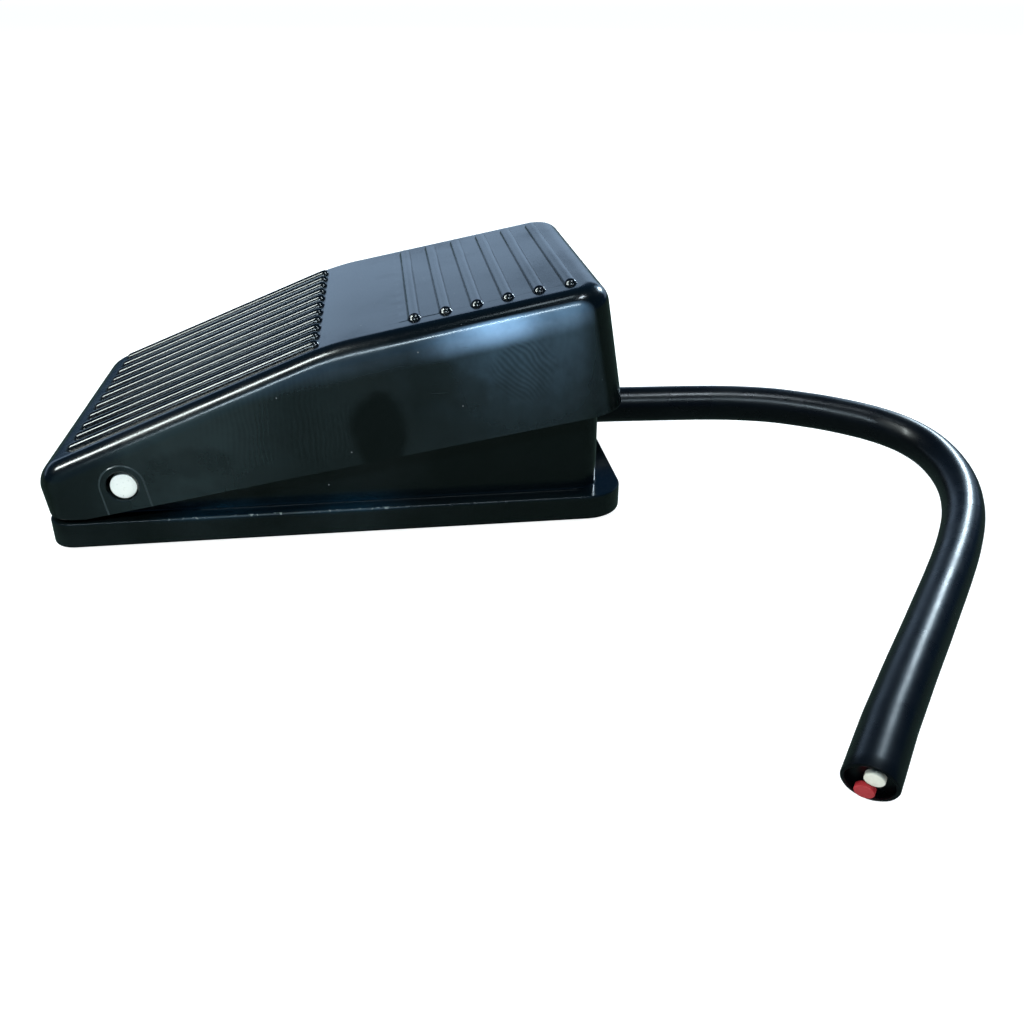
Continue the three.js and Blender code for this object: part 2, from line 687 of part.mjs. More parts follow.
// Two long screws through the switch and its bracket, each with a hex nut.
switchHoles.forEach(([x, z], i) => {
  const shank = lidFar + 2 * GAP + BRACKET.thickness + 4 - caseNear;
  const screw = addPart(`switch_screw_${i + 1}`, panScrew(shank), MATERIALS.zincSteel);
  screw.rotation.x = Math.PI / 2;
  screw.position.set(x, caseNear - GAP, z);
  const nutNear = lidFar + 2 * GAP + BRACKET.thickness;
  const nut = rod('y', 3.1, nutNear, nutNear + 2.4, x, z, 6)
    .subtract(rod('y', SCREW.radius + GAP, nutNear - 1, nutNear + 4, x, z, 12));
  addPart(`switch_nut_${i + 1}`, nut, MATERIALS.zincSteel);
});

BRACKET_SCREWS.forEach(([x, y], i) => {
  const screw = addPart(`bracket_screw_${i + 1}`, panScrew(4.2), MATERIALS.zincSteel);
  screw.position.set(x, y, BRACKET.padTop + 2 * GAP + BRACKET.thickness);
});

addPart('cable_grommet', grommet(), MATERIALS.rubber);
addPart('cable_clamp', cableClamp(), MATERIALS.nylon);
[-1, 1].forEach((side, i) => {
  const screw = addPart(`clamp_screw_${i + 1}`, panScrew(6.6), MATERIALS.zincSteel);
  screw.position.set(CLAMP.x, side * CLAMP.screwY, CLAMP.earTop + GAP);
});
addPart('cable_tail', cableTail(), MATERIALS.cableJacket);

const sleeveRear = SLEEVE.front + SLEEVE.length + GAP;
const tailFace = CABLE.tailEnd - GAP;
const coreSpread = 1.45; // each conductor's distance from the middle of the jacket

// A conductor from its sleeve to the jacket's end, straight where it meets each.
function innerWire(height, side, between) {
  const y = side * coreSpread;
  return tube([
    [sleeveRear, SWITCH.y, height], [sleeveRear + 1.2, SWITCH.y, height],
    ...between,
    [tailFace - 1, y, CABLE.z], [tailFace, y, CABLE.z],
  ], CORE.radius, 8, 16);
}

const whiteBends = [[31.8, -11, 8.6], [30.6, -6, 9.4], [31, -2.4, 10]];
const redBends = [[32, -10.5, 14.6], [29.4, -4, 13.6], [29.6, 0.4, 11.2]];
addPart('wire_white', innerWire(BLADES.common, -1, whiteBends), MATERIALS.whiteWire);
addPart('wire_red', innerWire(BLADES.open, 1, redBends), MATERIALS.redWire);

addPart('cable', tube(CABLE_ROUTE, CABLE.radius, CABLE.sides, 44), MATERIALS.cableJacket);
addPart('core_white', coreEnd(...CORE_OFFSETS.white), MATERIALS.whiteWire);
addPart('core_red', coreEnd(...CORE_OFFSETS.red), MATERIALS.redWire);

export default pedal;
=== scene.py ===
"""The looks of the foot switch pedal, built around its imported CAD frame.

Shapes are drawn in millimetres with the CAD model's driving dimensions, and
`new_piece` turns them into metres. +X runs from the hinge end to the cable
end, +Z is up, and the pedal stands on z = 0.
"""
import json
import math
from dataclasses import dataclass, replace

import bmesh
import bpy
from mathutils import Matrix, Vector

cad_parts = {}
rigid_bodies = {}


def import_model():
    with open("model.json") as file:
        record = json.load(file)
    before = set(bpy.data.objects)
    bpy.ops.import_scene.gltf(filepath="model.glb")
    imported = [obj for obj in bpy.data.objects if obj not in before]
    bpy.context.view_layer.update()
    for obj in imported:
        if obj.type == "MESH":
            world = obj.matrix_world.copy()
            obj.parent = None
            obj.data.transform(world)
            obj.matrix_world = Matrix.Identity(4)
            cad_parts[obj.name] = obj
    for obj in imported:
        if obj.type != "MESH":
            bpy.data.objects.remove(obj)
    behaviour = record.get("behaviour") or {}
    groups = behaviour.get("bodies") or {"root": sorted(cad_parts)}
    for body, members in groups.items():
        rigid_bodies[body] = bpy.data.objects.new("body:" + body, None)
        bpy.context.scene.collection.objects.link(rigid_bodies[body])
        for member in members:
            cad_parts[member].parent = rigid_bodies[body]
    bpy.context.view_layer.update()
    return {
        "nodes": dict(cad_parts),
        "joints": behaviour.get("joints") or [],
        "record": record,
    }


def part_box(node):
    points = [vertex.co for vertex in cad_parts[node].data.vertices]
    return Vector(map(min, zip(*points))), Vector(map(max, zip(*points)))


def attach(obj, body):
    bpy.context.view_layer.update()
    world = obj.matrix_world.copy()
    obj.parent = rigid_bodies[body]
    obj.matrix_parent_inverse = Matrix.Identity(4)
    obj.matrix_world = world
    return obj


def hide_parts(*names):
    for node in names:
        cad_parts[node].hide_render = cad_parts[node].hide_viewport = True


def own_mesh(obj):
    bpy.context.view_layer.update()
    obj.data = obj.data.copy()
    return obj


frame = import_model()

MM = 0.001


# ------------------------------------------------------------------- camera

CAMERA_PLACE = Vector((0.00886, -0.1962, 0.08497))
CAMERA_AZIMUTH = math.radians(-7.12)
CAMERA_ELEVATION = math.radians(26.4)
CAMERA_LENS = 36.5


def make_camera():
    level = math.cos(CAMERA_ELEVATION)
    forward = Vector((
        -math.sin(CAMERA_AZIMUTH) * level,
        math.cos(CAMERA_AZIMUTH) * level,
        -math.sin(CAMERA_ELEVATION),
    ))
    data = bpy.data.cameras.new("camera")
    data.lens = CAMERA_LENS
    data.clip_start = 0.005
    camera = bpy.data.objects.new("camera", data)
    camera.location = CAMERA_PLACE
    camera.rotation_euler = forward.to_track_quat("-Z", "Y").to_euler()
    bpy.context.scene.collection.objects.link(camera)
    bpy.context.scene.camera = camera


make_camera()


# --------------------------------------------------------- shader node helper


class Surface:
    """A material with a Principled shader, and short ways to add nodes to it."""

    def __init__(self, name, color, roughness, **sockets):
        self.material = bpy.data.materials.new(name)
        self.material.use_nodes = True
        self.tree = self.material.node_tree
        self.shader = self.tree.nodes["Principled BSDF"]
        self.shader.inputs["Base Color"].default_value = (*color, 1)
        self.shader.inputs["Roughness"].default_value = roughness
        for socket, value in sockets.items():
            self.shader.inputs[socket.replace("_", " ")].default_value = value
        place = self.tree.nodes.new("ShaderNodeTexCoord")
        self.place = place.outputs["Object"]

    def node(self, kind, inputs=None, **settings):
        made = self.tree.nodes.new("ShaderNode" + kind)
        for key, value in settings.items():
            setattr(made, key, value)
        for key, value in (inputs or {}).items():
            self.feed(made.inputs[key], value)
        return made

    def feed(self, socket, value):
        if isinstance(value, bpy.types.NodeSocket):
            self.tree.links.new(value, socket)
        else:
            socket.default_value = value

    def math(self, operation, a, b=0.0, c=0.0):
        made = self.node("Math", operation=operation)
        for socket, value in zip(made.inputs, (a, b, c)):
            self.feed(socket, value)
        return made.outputs[0]

    def product(self, first, *others):
        for other in others:
            first = self.math("MULTIPLY", first, other)
        return first

    def length(self, a, b):
        squared = self.math("ADD", self.product(a, a), self.product(b, b))
        return self.math("SQRT", squared)

    def noise(self, scale, detail=3.0, stretch=None, place=None, roughness=0.55):
        """Noise of `scale` cells per metre, from 0 to 1."""
        source = place or self.place
        if stretch:
            source = self.node("Mapping", {"Vector": source, "Scale": stretch}).outputs[0]
        made = self.node("TexNoise", {"Vector": source, "Scale": scale, "Detail": detail})
        made.inputs["Roughness"].default_value = roughness
        return made.outputs["Fac"]

    def remap(self, value, low, high, to_low=0, to_high=1, steps="LINEAR"):
        made = self.node("MapRange", interpolation_type=steps)
        numbers = (value, low, high, to_low, to_high)
        for key, number in zip(("Value", "From Min", "From Max", "To Min", "To Max"), numbers):
            self.feed(made.inputs[key], number)
        return made.outputs[0]

    def ease(self, value, low, high, to_low=0, to_high=1):
        """A remap that starts and ends gently."""
        return self.remap(value, low, high, to_low, to_high, "SMOOTHSTEP")

    def blend(self, share, first, second):
        """First colour at share 0, second at 1."""
        made = self.node("Mix", data_type="RGBA")
        self.feed(made.inputs[0], share)
        self.feed(made.inputs[6], first if not isinstance(first, tuple) else (*first, 1))
        self.feed(made.inputs[7], second if not isinstance(second, tuple) else (*second, 1))
        return made.outputs[2]

    def axes(self):
        made = self.node("SeparateXYZ", {"Vector": self.place})
        return made.outputs

    def color(self, value):
        self.feed(self.shader.inputs["Base Color"], value)

    def rough(self, value):
        self.feed(self.shader.inputs["Roughness"], value)

    def bump(self, *layers):
        """Each layer is (height, depth in metres)."""
        normal = None
        for height, depth in layers:
            made = self.node("Bump", {"Height": height, "Distance": depth})
            if normal:
                self.feed(made.inputs["Normal"], normal)
            normal = made.outputs[0]
        self.feed(self.shader.inputs["Normal"], normal)


# ---------------------------------------------------------------- mesh helper


def new_piece(name, mesh, material, body, replaces=(), smooth_angle=35):
    """A bmesh drawn in millimetres becomes a named piece in metres on a body."""
    bmesh.ops.remove_doubles(mesh, verts=mesh.verts, dist=1e-4)
    bmesh.ops.recalc_face_normals(mesh, faces=mesh.faces)
    mesh.transform(Matrix.Scale(MM, 4))
    for face in mesh.faces:
        face.smooth = True
    limit = math.radians(smooth_angle)
    for edge in mesh.edges:
        if len(edge.link_faces) == 2 and edge.calc_face_angle(0) > limit:
            edge.smooth = False
    data = bpy.data.meshes.new(name)
    mesh.to_mesh(data)
    mesh.free()
    data.materials.append(material)
    piece = bpy.data.objects.new(name, data)
    bpy.context.scene.collection.objects.link(piece)
    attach(piece, body)
    if replaces:
        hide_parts(*replaces)
    return piece


def weighted_normals(piece):
    modifier = piece.modifiers.new("weighted_normals", "WEIGHTED_NORMAL")
    modifier.keep_sharp = True


def apply_modifiers(piece):
    """Puts the result of the piece's modifiers into its mesh."""
    graph = bpy.context.evaluated_depsgraph_get()
    data = bpy.data.meshes.new_from_object(piece.evaluated_get(graph))
    piece.modifiers.clear()
    piece.data = data


def combine(target, tools, operation):
    """Cuts tools, bmeshes in millimetres, from the target mesh, or joins them."""
    blank = bpy.data.objects.new("combine", bpy.data.meshes.new("combine"))
    bpy.context.scene.collection.objects.link(blank)
    target.to_mesh(blank.data)
    target.free()
    for tool in tools:
        bmesh.ops.recalc_face_normals(tool, faces=tool.faces)
        data = bpy.data.meshes.new("tool")
        tool.to_mesh(data)
        tool.free()
        cutter = bpy.data.objects.new("tool", data)
        bpy.context.scene.collection.objects.link(cutter)
        modifier = blank.modifiers.new("cut", "BOOLEAN")
        modifier.operation = operation
        modifier.solver = "EXACT"
        modifier.object = cutter
    apply_modifiers(blank)
    result = bmesh.new()
    result.from_mesh(blank.data)
    for thing in [o for o in bpy.context.scene.objects if o.name.startswith(("tool", "combine"))]:
        bpy.data.objects.remove(thing)
    return result


def arc(cx, cy, radius, start, end, steps):
    """Points of an arc between two angles in degrees."""
    turns = [math.radians(start + (end - start) * i / steps) for i in range(steps + 1)]
    return [(cx + radius * math.cos(t), cy + radius * math.sin(t)) for t in turns]


@dataclass(frozen=True)
class Plan:
    """A rounded rectangle seen from above, the same on both sides of the XZ plane."""

    front: float
    rear: float
    half: float
    front_radius: float
    rear_radius: float

    def inset(self, amount):
        return Plan(
            self.front + amount,
            self.rear - amount,
            self.half - amount,
            max(self.front_radius - amount, 0.15),
            max(self.rear_radius - amount, 0.15),
        )

    def near_half(self, stations, steps):
        front = arc(self.front + self.front_radius, self.front_radius - self.half,
                    self.front_radius, 180, 270, steps)
        rear = arc(self.rear - self.rear_radius, self.rear_radius - self.half,
                   self.rear_radius, 270, 360, steps)
        return front + [(x, -self.half) for x in stations] + rear

    def ring(self, height, stations, steps=14):
        """Its outline as 3-D points, at a height or at height(x)."""
        rise = height if callable(height) else lambda x: height
        near = [(x, y, rise(x)) for x, y in self.near_half(stations, steps)]
        return near + [(x, -y, z) for x, y, z in reversed(near)]


def add_ring(mesh, points):
    return [mesh.verts.new(p) for p in points]


def join_rings(mesh, rings):
    """Faces between neighbouring rings of vertices, which all have the same count."""
    count = len(rings[0])
    for low, high in zip(rings, rings[1:]):
        for i in range(count):
            j = (i + 1) % count
            mesh.faces.new((low[i], low[j], high[j], high[i]))


def skin(mesh, rings):
    """Faces between rings of points; returns the rings' vertices."""
    made = [add_ring(mesh, ring) for ring in rings]
    join_rings(mesh, made)
    return made


def cap_across(mesh, ring):
    """Closes a ring whose second half mirrors its first with strips across."""
    count = len(ring)
    for i in range(count // 2 - 1):
        j = count - 1 - i
        mesh.faces.new((ring[i], ring[i + 1], ring[j - 1], ring[j]))


def turned(profile, sides, axis="z"):
    """A solid of revolution from (radius, height) points that start and end on the axis."""
    mesh = bmesh.new()
    rings = []
    for radius, height in profile:
        if radius == 0:
            rings.append([mesh.verts.new((0, 0, height))])
        else:
            rings.append(add_ring(mesh, [
                (x, y, height) for x, y in arc(0, 0, radius, 0, 360, sides)[:-1]
            ]))
    for low, high in zip(rings, rings[1:]):
        for i in range(sides):
            j = (i + 1) % sides
            corners = [low[i % len(low)], low[j % len(low)], high[j % len(high)], high[i % len(high)]]
            mesh.faces.new(list(dict.fromkeys(corners)))
    if axis == "y":
        mesh.transform(Matrix.Rotation(-math.pi / 2, 4, "X"))
    elif axis == "x":
        mesh.transform(Matrix.Rotation(math.pi / 2, 4, "Y"))
    return mesh


def bar(radius, start, end, axis, place, sides=48):
    """A plain round bar from start to end along an axis, moved to place."""
    mesh = turned([(0, start), (radius, start), (radius, end), (0, end)], sides, axis)
    mesh.transform(Matrix.Translation(place))
    return mesh


def brick(low, high):
    mesh = bmesh.new()
    bmesh.ops.create_cube(mesh, size=1)
    size = Vector(high) - Vector(low)
    mesh.transform(Matrix.LocRotScale((Vector(high) + Vector(low)) / 2, None, size))
    return mesh


# ------------------------------------------------------- driving dimensions

FLANGE = Plan(front=-50, rear=50, half=32.2, front_radius=4.5, rear_radius=7)
FLANGE_TOP = 5.1
FLANGE_BOTTOM = 0.6
SOLE = Plan(front=-46, rear=46, half=28, front_radius=4, rear_radius=4)
SOLE_THICKNESS = 1.5
GAP = 0.3

hinge = next(joint for joint in frame["joints"] if joint["name"] == "pedal_hinge")
PIN_X, _, PIN_Z = (value / MM for value in hinge["pos_m"])
PIN_RADIUS = 2.25
PIN_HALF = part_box("hinge_pin")[1].y / MM
PIN_HOLE_RADIUS = 2.65
REST_TILT = math.radians(9.3)

# The cover is drawn pressed flat, then raised about the pin.
COVER = Plan(front=-50.9, rear=50.1, half=31.8, front_radius=5, rear_radius=6.5)
COVER_BOTTOM = 6.8
WALL = 2.2
RIM = 3.7
SIDE_DRAFT = 0.2
FRONT_DRAFT = 0.1
RAMP_X, RAMP_Z, RAMP_SLOPE = -45.3, 17.3, 0.217
DECK_SLOPE = 0.028
BREAK_X, BREAK_HALF = 2.2, 4.5
BREAK_STATIONS = [BREAK_X + BREAK_HALF * (i / 6) for i in range(-6, 7)]
RELIEF_X = -43.9
NOTCH_HALF, NOTCH_TOP = 5, 14.6

RIB_RADIUS = 1.25
RIB_LIFT = -0.4
RIB_HALF = math.sqrt(RIB_RADIUS ** 2 - RIB_LIFT ** 2)
LONG_RIB_PITCH, LONG_RIB_SIDE = 5.0, 5
LONG_RIB_FRONT, LONG_RIB_REAR = -44.3, -0.5
CROSS_RIB_COUNT, CROSS_RIB_PITCH, CROSS_RIB_FIRST, CROSS_RIB_HALF = 6, 5.4, 17.1, 24.3

BOX = Plan(front=-42.5, rear=45.7, half=28.5, front_radius=3, rear_radius=4)
BOX_WALL = 2.3
BOX_FLOOR = 4
BOX_HEADROOM = 1.2
PIN_BOSS = 4.4

CABLE_RADIUS = 3.5
CABLE_Z = 10.2
CABLE_START = 46.4  # inside the bush
CABLE_ROUTE = [
    (47.6, 0, 10.2), (53.5, -0.1, 10.2), (59.7, -0.5, 10.2), (66, -0.9, 10.2),
    (72.1, -1.4, 10.2), (77.3, -2, 10.15), (82.3, -2.9, 10.05), (87.2, -4.2, 9.9),
    (91.9, -5.9, 9.6), (96.4, -7.9, 9.3), (100.8, -10.3, 8.9), (104.8, -12.9, 8.4),
    (108, -16.1, 7.9), (110.3, -19.5, 7.3), (111.6, -24.1, 6.7), (111.7, -29.9, 6),
    (110.5, -36.2, 5.4), (108.3, -42.3, 4.8), (104.9, -48.9, 4.4), (99.6, -57.1, 3.95),
    (93.8, -65.1, 3.65), (88.2, -72.5, 3.5), (82.7, -79.8, 3.5), (77.2, -87, 3.5),
    (72.1, -93.8, 3.5), (68.3, -98.9, 3.5), (65, -103.6, 3.5), (61.5, -108.5, 3.5),
]


def top_height(x):
    """The cover's top when pressed: a ramp, a short curve and the deck."""
    start, end = BREAK_X - BREAK_HALF, BREAK_X + BREAK_HALF
    ramp = RAMP_Z + RAMP_SLOPE * (x - RAMP_X)
    if x <= start:
        return ramp
    if x >= end:
        at_break = RAMP_Z + RAMP_SLOPE * (BREAK_X - RAMP_X)
        return at_break + DECK_SLOPE * (x - BREAK_X)
    return ramp + (DECK_SLOPE - RAMP_SLOPE) / (end - start) * (x - start) ** 2 / 2


def bottom_height(x):
    return COVER_BOTTOM + max(0, RELIEF_X - x) * math.tan(REST_TILT)


def raised():
    """The turn about the pin that takes the pressed drawing to rest, in millimetres."""
    pin = Vector((PIN_X, 0, PIN_Z))
    return Matrix.Translation(pin) @ Matrix.Rotation(-REST_TILT, 4, "Y") @ Matrix.Translation(-pin)


# ----------------------------------------------------------------- materials

PLASTIC = (0.0012, 0.0022, 0.0021)
# side-wall colour, partly real haze and partly painted sheen: the cover brightens it toward the top and
# rear of its walls
HAZE_AND_SHEEN_BLUE = (0.03, 0.055, 0.078)
GREY_HAZE = (0.0135, 0.0215, 0.0225)
# painted reflection: the colour of the bright sheen painted under the side walls' top edge
PAINTED_SHEEN_BLUE = (0.28, 0.45, 0.66)


def dust(surface, color, amount):
    """A few pale specks over a colour."""
    specks = surface.node("TexVoronoi", {"Vector": surface.place, "Scale": 420.0})
    size = surface.ease(specks.outputs["Distance"], 0.03, 0.07, 1, 0)
    chosen = surface.node("SeparateXYZ", {"Vector": specks.outputs["Color"]}).outputs[0]
    rare = surface.math("GREATER_THAN", surface.math("ADD", chosen, amount), 1.0)
    return surface.blend(surface.product(size, rare), color, (0.16, 0.17, 0.17))


def patch(surface, x, z, radii, soft=0.35):
    """1 inside an ellipse of the side wall, 0 outside; places and radii in mm."""
    axes = surface.axes()
    right = surface.math("MULTIPLY_ADD", axes[0], 1000 / radii[0], -x / radii[0])
    over = surface.math("MULTIPLY_ADD", axes[2], 1000 / radii[1], -z / radii[1])
    wander = surface.remap(surface.noise(240, 3), 0.3, 0.7, -soft / 2, soft / 2)
    distance = surface.math("ADD", surface.length(right, over), wander)
    return surface.ease(distance, 1 - soft, 1 + soft, 1, 0)


def without(surface, share, *patches):
    """A share, wiped away inside the patches."""
    for wiped, strength in patches:
        kept = surface.remap(wiped, 0, 1, 1, 1 - strength)
        share = surface.product(share, kept)
    return share


def scratches(surface, angle, amount):
    """Fine straight marks on the side walls, leaning by `angle`."""
    turned_place = surface.node("Mapping", {
        "Vector": surface.place, "Rotation": (0, angle, 0), "Scale": (1, 0.05, 26),
    }).outputs[0]
    lines = surface.noise(150, 2, place=turned_place)
    fine = surface.ease(lines, 0.72 - amount, 0.8 - amount)
    where = surface.ease(surface.noise(70, 2), 0.52, 0.66)
    return surface.product(fine, where)


def worn_plastic(name, roughness):
    """Moulded black plastic with a slow ripple and fine grain; its callers add a little dust."""
    made = Surface(name, PLASTIC, roughness, IOR=1.5)
    film = made.ease(made.noise(46, 5, roughness=0.6), 0.42, 0.72, 0, 0.09)
    grain = made.remap(made.noise(2600, 2), 0.3, 0.7, -0.02, 0.02)
    made.rough(made.math("ADD", made.math("ADD", roughness, film), grain))
    made.bump((made.noise(34, 1), 0.00012), (made.noise(1900, 2), 0.0000015))
    return made


PAD_HIGHLIGHT_RADIUS = 3.7  # radius of the painted highlight line round the hinge pin's pad


def arch_axes(surface, axes):
    """Along the cover from the pin, up from the pin (never down), and a mask of the pad."""
    right = surface.math("SUBTRACT", axes[0], PIN_X * MM)
    over = surface.math("SUBTRACT", axes[2], PIN_Z * MM)
    along = surface.math("ADD", surface.product(right, math.cos(REST_TILT)),
                         surface.product(over, math.sin(REST_TILT)))
    up = surface.math("SUBTRACT", surface.product(over, math.cos(REST_TILT)),
                      surface.product(right, math.sin(REST_TILT)))
    near = surface.remap(surface.math("ABSOLUTE", along), 0.0045, 0.005, 1, 0)
    return along, surface.math("MAXIMUM", up, 0.0), near


def cover_material():
    """The cover: handling haze on its side walls, wiped away in patches and brightened toward the top
    and rear by painted sheen, with a painted reflection under the top edge and a painted highlight round
    the pin's pad.
    """
    made = worn_plastic("cover_plastic", 0.16)
    axes = made.axes()
    sides = made.ease(made.math("ABSOLUTE", axes[1]), 0.0306, 0.0312)
    cloud = made.remap(made.noise(60, 5, roughness=0.65), 0.3, 0.72, 0.45, 1.15)
    smear = made.remap(made.noise(330, 4, stretch=(1, 1, 0.3)), 0.3, 0.72, 0.75, 1.2)

    # painted sheen: the haze is made brighter toward the rear and the top, and fades near the rear
    # corner, where the walls reflect more or less light
    sheen_toward_rear = made.ease(axes[0], 0.006, 0.036)
    sheen_toward_top = made.ease(axes[2], 0.018, 0.034, 0.12, 1)
    sheen_fade_near_corner = made.ease(axes[0], 0.039, 0.044, 1, 0.15)
    haze_and_sheen = made.product(sheen_toward_rear, sheen_toward_top, sheen_fade_near_corner, cloud, smear)
    print_lines = made.node("TexWave", {
        "Vector": made.place, "Scale": 560.0, "Distortion": 9.0, "Detail": 1.0,
        "Detail Scale": 0.3,
    }, wave_type="BANDS", bands_direction="DIAGONAL")
    finger = patch(made, 31.5, 29, (5, 5), 0.25)
    printed = made.product(print_lines.outputs["Fac"], finger)
    haze_and_sheen = without(
        made, haze_and_sheen,
        (patch(made, 16, 28, (4.2, 5)), 0.8),
        (patch(made, 22, 25, (4, 3.2)), 0.45),
        (patch(made, 41, 22, (4, 5)), 0.2),
        (printed, 0.38),
    )
    frontward = made.ease(axes[0], -0.004, -0.02, 0.42, 1)
    toe = made.ease(axes[0], -0.034, -0.042, 1, 0.45)
    grey = made.product(frontward, toe, cloud)
    ridges = made.node("TexWave", {
        "Vector": made.place, "Scale": 380.0, "Distortion": 8.0, "Detail": 2.0,
        "Detail Scale": 0.4,
    }, wave_type="BANDS", bands_direction="X")
    ridged = made.product(ridges.outputs["Fac"], patch(made, -8, 21, (12, 9), 0.5))
    grey = made.math("ADD", grey, made.product(ridged, 0.16))
    grey = without(
        made, grey,
        (patch(made, 6.8, 19, (4.6, 7), 0.18), 0.85),
        (patch(made, -24, 15, (6, 2.5)), 0.3),
    )

    # painted reflection: a bright bluish sheen painted under the side wall's top edge, from a height
    # measured from a line that rises as the wall's top edge does
    under_edge = made.math("MULTIPLY_ADD", axes[0], -0.19, axes[2])
    painted_sheen = made.ease(under_edge, 0.0273, 0.0306)
    begins = made.ease(axes[0], 0.012, 0.027, 0.05, 0.85)
    fades = made.ease(axes[0], 0.029, 0.037, 1, 0.35)
    painted_sheen = made.product(painted_sheen, begins, fades, cloud, sheen_fade_near_corner, sides)

    color = made.blend(made.product(haze_and_sheen, sides), PLASTIC, HAZE_AND_SHEEN_BLUE)
    color = made.blend(painted_sheen, color, PAINTED_SHEEN_BLUE)
    lifted = made.node("Mix", data_type="RGBA", blend_type="ADD")
    made.feed(lifted.inputs[0], made.product(grey, sides))
    made.feed(lifted.inputs[6], color)
    made.feed(lifted.inputs[7], (*GREY_HAZE, 1))
    marks = made.math("ADD", scratches(made, 0.5, 0.02), scratches(made, -0.9, 0.01))
    marked = made.blend(made.product(marks, 0.5), lifted.outputs[2], (0.03, 0.04, 0.045))
    # painted highlight: a pale line along the upper edge of the pin's pad
    along, over, on_pad = arch_axes(made, axes)
    away = made.length(along, over)
    line = made.math("ABSOLUTE", made.math("SUBTRACT", away, PAD_HIGHLIGHT_RADIUS * MM))
    pad_highlight = made.product(made.ease(line, 0.00006, 0.00022, 0.8, 0), on_pad)
    with_pad_highlight = made.blend(made.product(pad_highlight, sides), marked, (0.036, 0.048, 0.05))
    ramp_dust = made.remap(axes[0], -0.04, 0, 0.06, 0.22)
    made.color(dust(made, with_pad_highlight, ramp_dust))
    return made.material


def base_material():
    """The base: cleaner and darker, with smudges on the box, worn upper edges and a painted navy
    reflection on the ledge round the box.
    """
    made = worn_plastic("base_plastic", 0.14)
    axes = made.axes()
    film = made.remap(made.noise(55, 5, roughness=0.6), 0.35, 0.7, 0.2, 1)
    forward = made.ease(axes[0], -0.005, 0.03, 1, 0.12)
    haze = made.product(film, forward)
    haze = without(made, haze, (patch(made, 21, 11.5, (6, 5), 0.2), 0.8))
    color = made.blend(made.product(haze, 0.42), PLASTIC, GREY_HAZE)
    marks = scratches(made, 0.7, 0.0)
    marked = made.blend(made.product(marks, 0.4), color, (0.03, 0.04, 0.045))
    begins = made.ease(axes[0], -0.035, -0.024)
    ends = made.ease(axes[0], 0.004, 0.014, 1, 0.1)
    above = made.remap(axes[2], 0.0044, 0.005)
    below = made.ease(axes[2], 0.0075, 0.0052)
    # painted reflection: a patchy navy tint on the flange's top and the foot of the box walls
    painted_ledge_reflection = made.product(above, below, begins, ends, film)
    marked = made.blend(painted_ledge_reflection, marked, (0.003, 0.02, 0.034))
    height = FLANGE_TOP * MM
    low = made.remap(axes[2], height - 0.00026, height - 0.00016)
    high = made.remap(axes[2], height + 0.00002, height + 0.00005, 1, 0)
    side = made.remap(made.math("ABSOLUTE", axes[1]), 0.0317, 0.0319)
    edge = made.product(low, high, side)
    nicks = made.ease(made.noise(900, 3, stretch=(1, 1, 0.2)), 0.56, 0.68, 0.1, 1)
    rubbed = made.product(begins, ends, nicks)
    edged = made.blend(made.product(edge, rubbed), marked, (0.22, 0.24, 0.235))
    made.color(dust(made, edged, 0.07))
    return made.material


cover_plastic = cover_material()
base_plastic = base_material()


def jacket_material():
    made = Surface("cable_jacket", (0.0008, 0.0013, 0.0019), 0.24, Specular_IOR_Level=0.27)
    base = made.blend(made.noise(90, 3), (0.0007, 0.0012, 0.0017), (0.0016, 0.0022, 0.003))
    made.color(dust(made, base, 0.02))
    made.rough(made.remap(made.noise(160, 4), 0.35, 0.7, 0.25, 0.33))
    made.bump((made.noise(260, 2), 0.00003), (made.noise(2400, 2), 0.000002))
    return made.material


def insulation_material(name, color):
    made = Surface(name, color, 0.42, IOR=1.48)
    darker = tuple(part * 0.72 for part in color)
    made.color(made.blend(made.noise(900, 3), darker, color))
    made.rough(made.remap(made.noise(1500, 3), 0.3, 0.7, 0.34, 0.55))
    made.bump((made.noise(1800, 3), 0.00003))
    return made.material


def rubber_material(name, color, pattern_scale=700):
    made = Surface(name, color, 0.75, IOR=1.5)
    lighter = tuple(part * 1.8 for part in color)
    made.color(dust(made, made.blend(made.noise(120, 4), color, lighter), 0.12))
    made.rough(made.remap(made.noise(300, 3), 0.3, 0.7, 0.66, 0.85))
    made.bump((made.noise(pattern_scale, 3), 0.00012))
    return made.material


def metal_material(name, color, roughness, lines=(1, 1, 14)):
    """Metal with drawn or rolled lines, which run across the stretched axis."""
    made = Surface(name, color, roughness, Metallic=1.0)
    streak = made.noise(420, 3, stretch=lines)
    stain = made.noise(170, 4)
    shade = made.remap(stain, 0.35, 0.75, 0, 0.6)
    made.color(made.blend(shade, color, tuple(part * 0.7 for part in color)))
    made.rough(made.remap(streak, 0.3, 0.7, roughness - 0.08, roughness + 0.12))
    made.bump((streak, 0.00001))
    return made.material


def pin_material():
    """Cut and plated steel: a pale end face with pits, drag lines and stains."""
    color = (0.98, 0.98, 0.88)
    made = Surface("pin_steel", color, 0.45, Metallic=0.12)
    drag = made.noise(700, 3, stretch=(1, 1, 0.25))
    pits = made.noise(1500, 4)
    stain = made.ease(pits, 0.58, 0.74, 0, 0.6)
    made.color(made.blend(stain, color, (0.5, 0.52, 0.44)))
    made.rough(made.remap(drag, 0.3, 0.7, 0.4, 0.55))
    made.bump((drag, 0.00005), (pits, 0.00003))
    return made.material


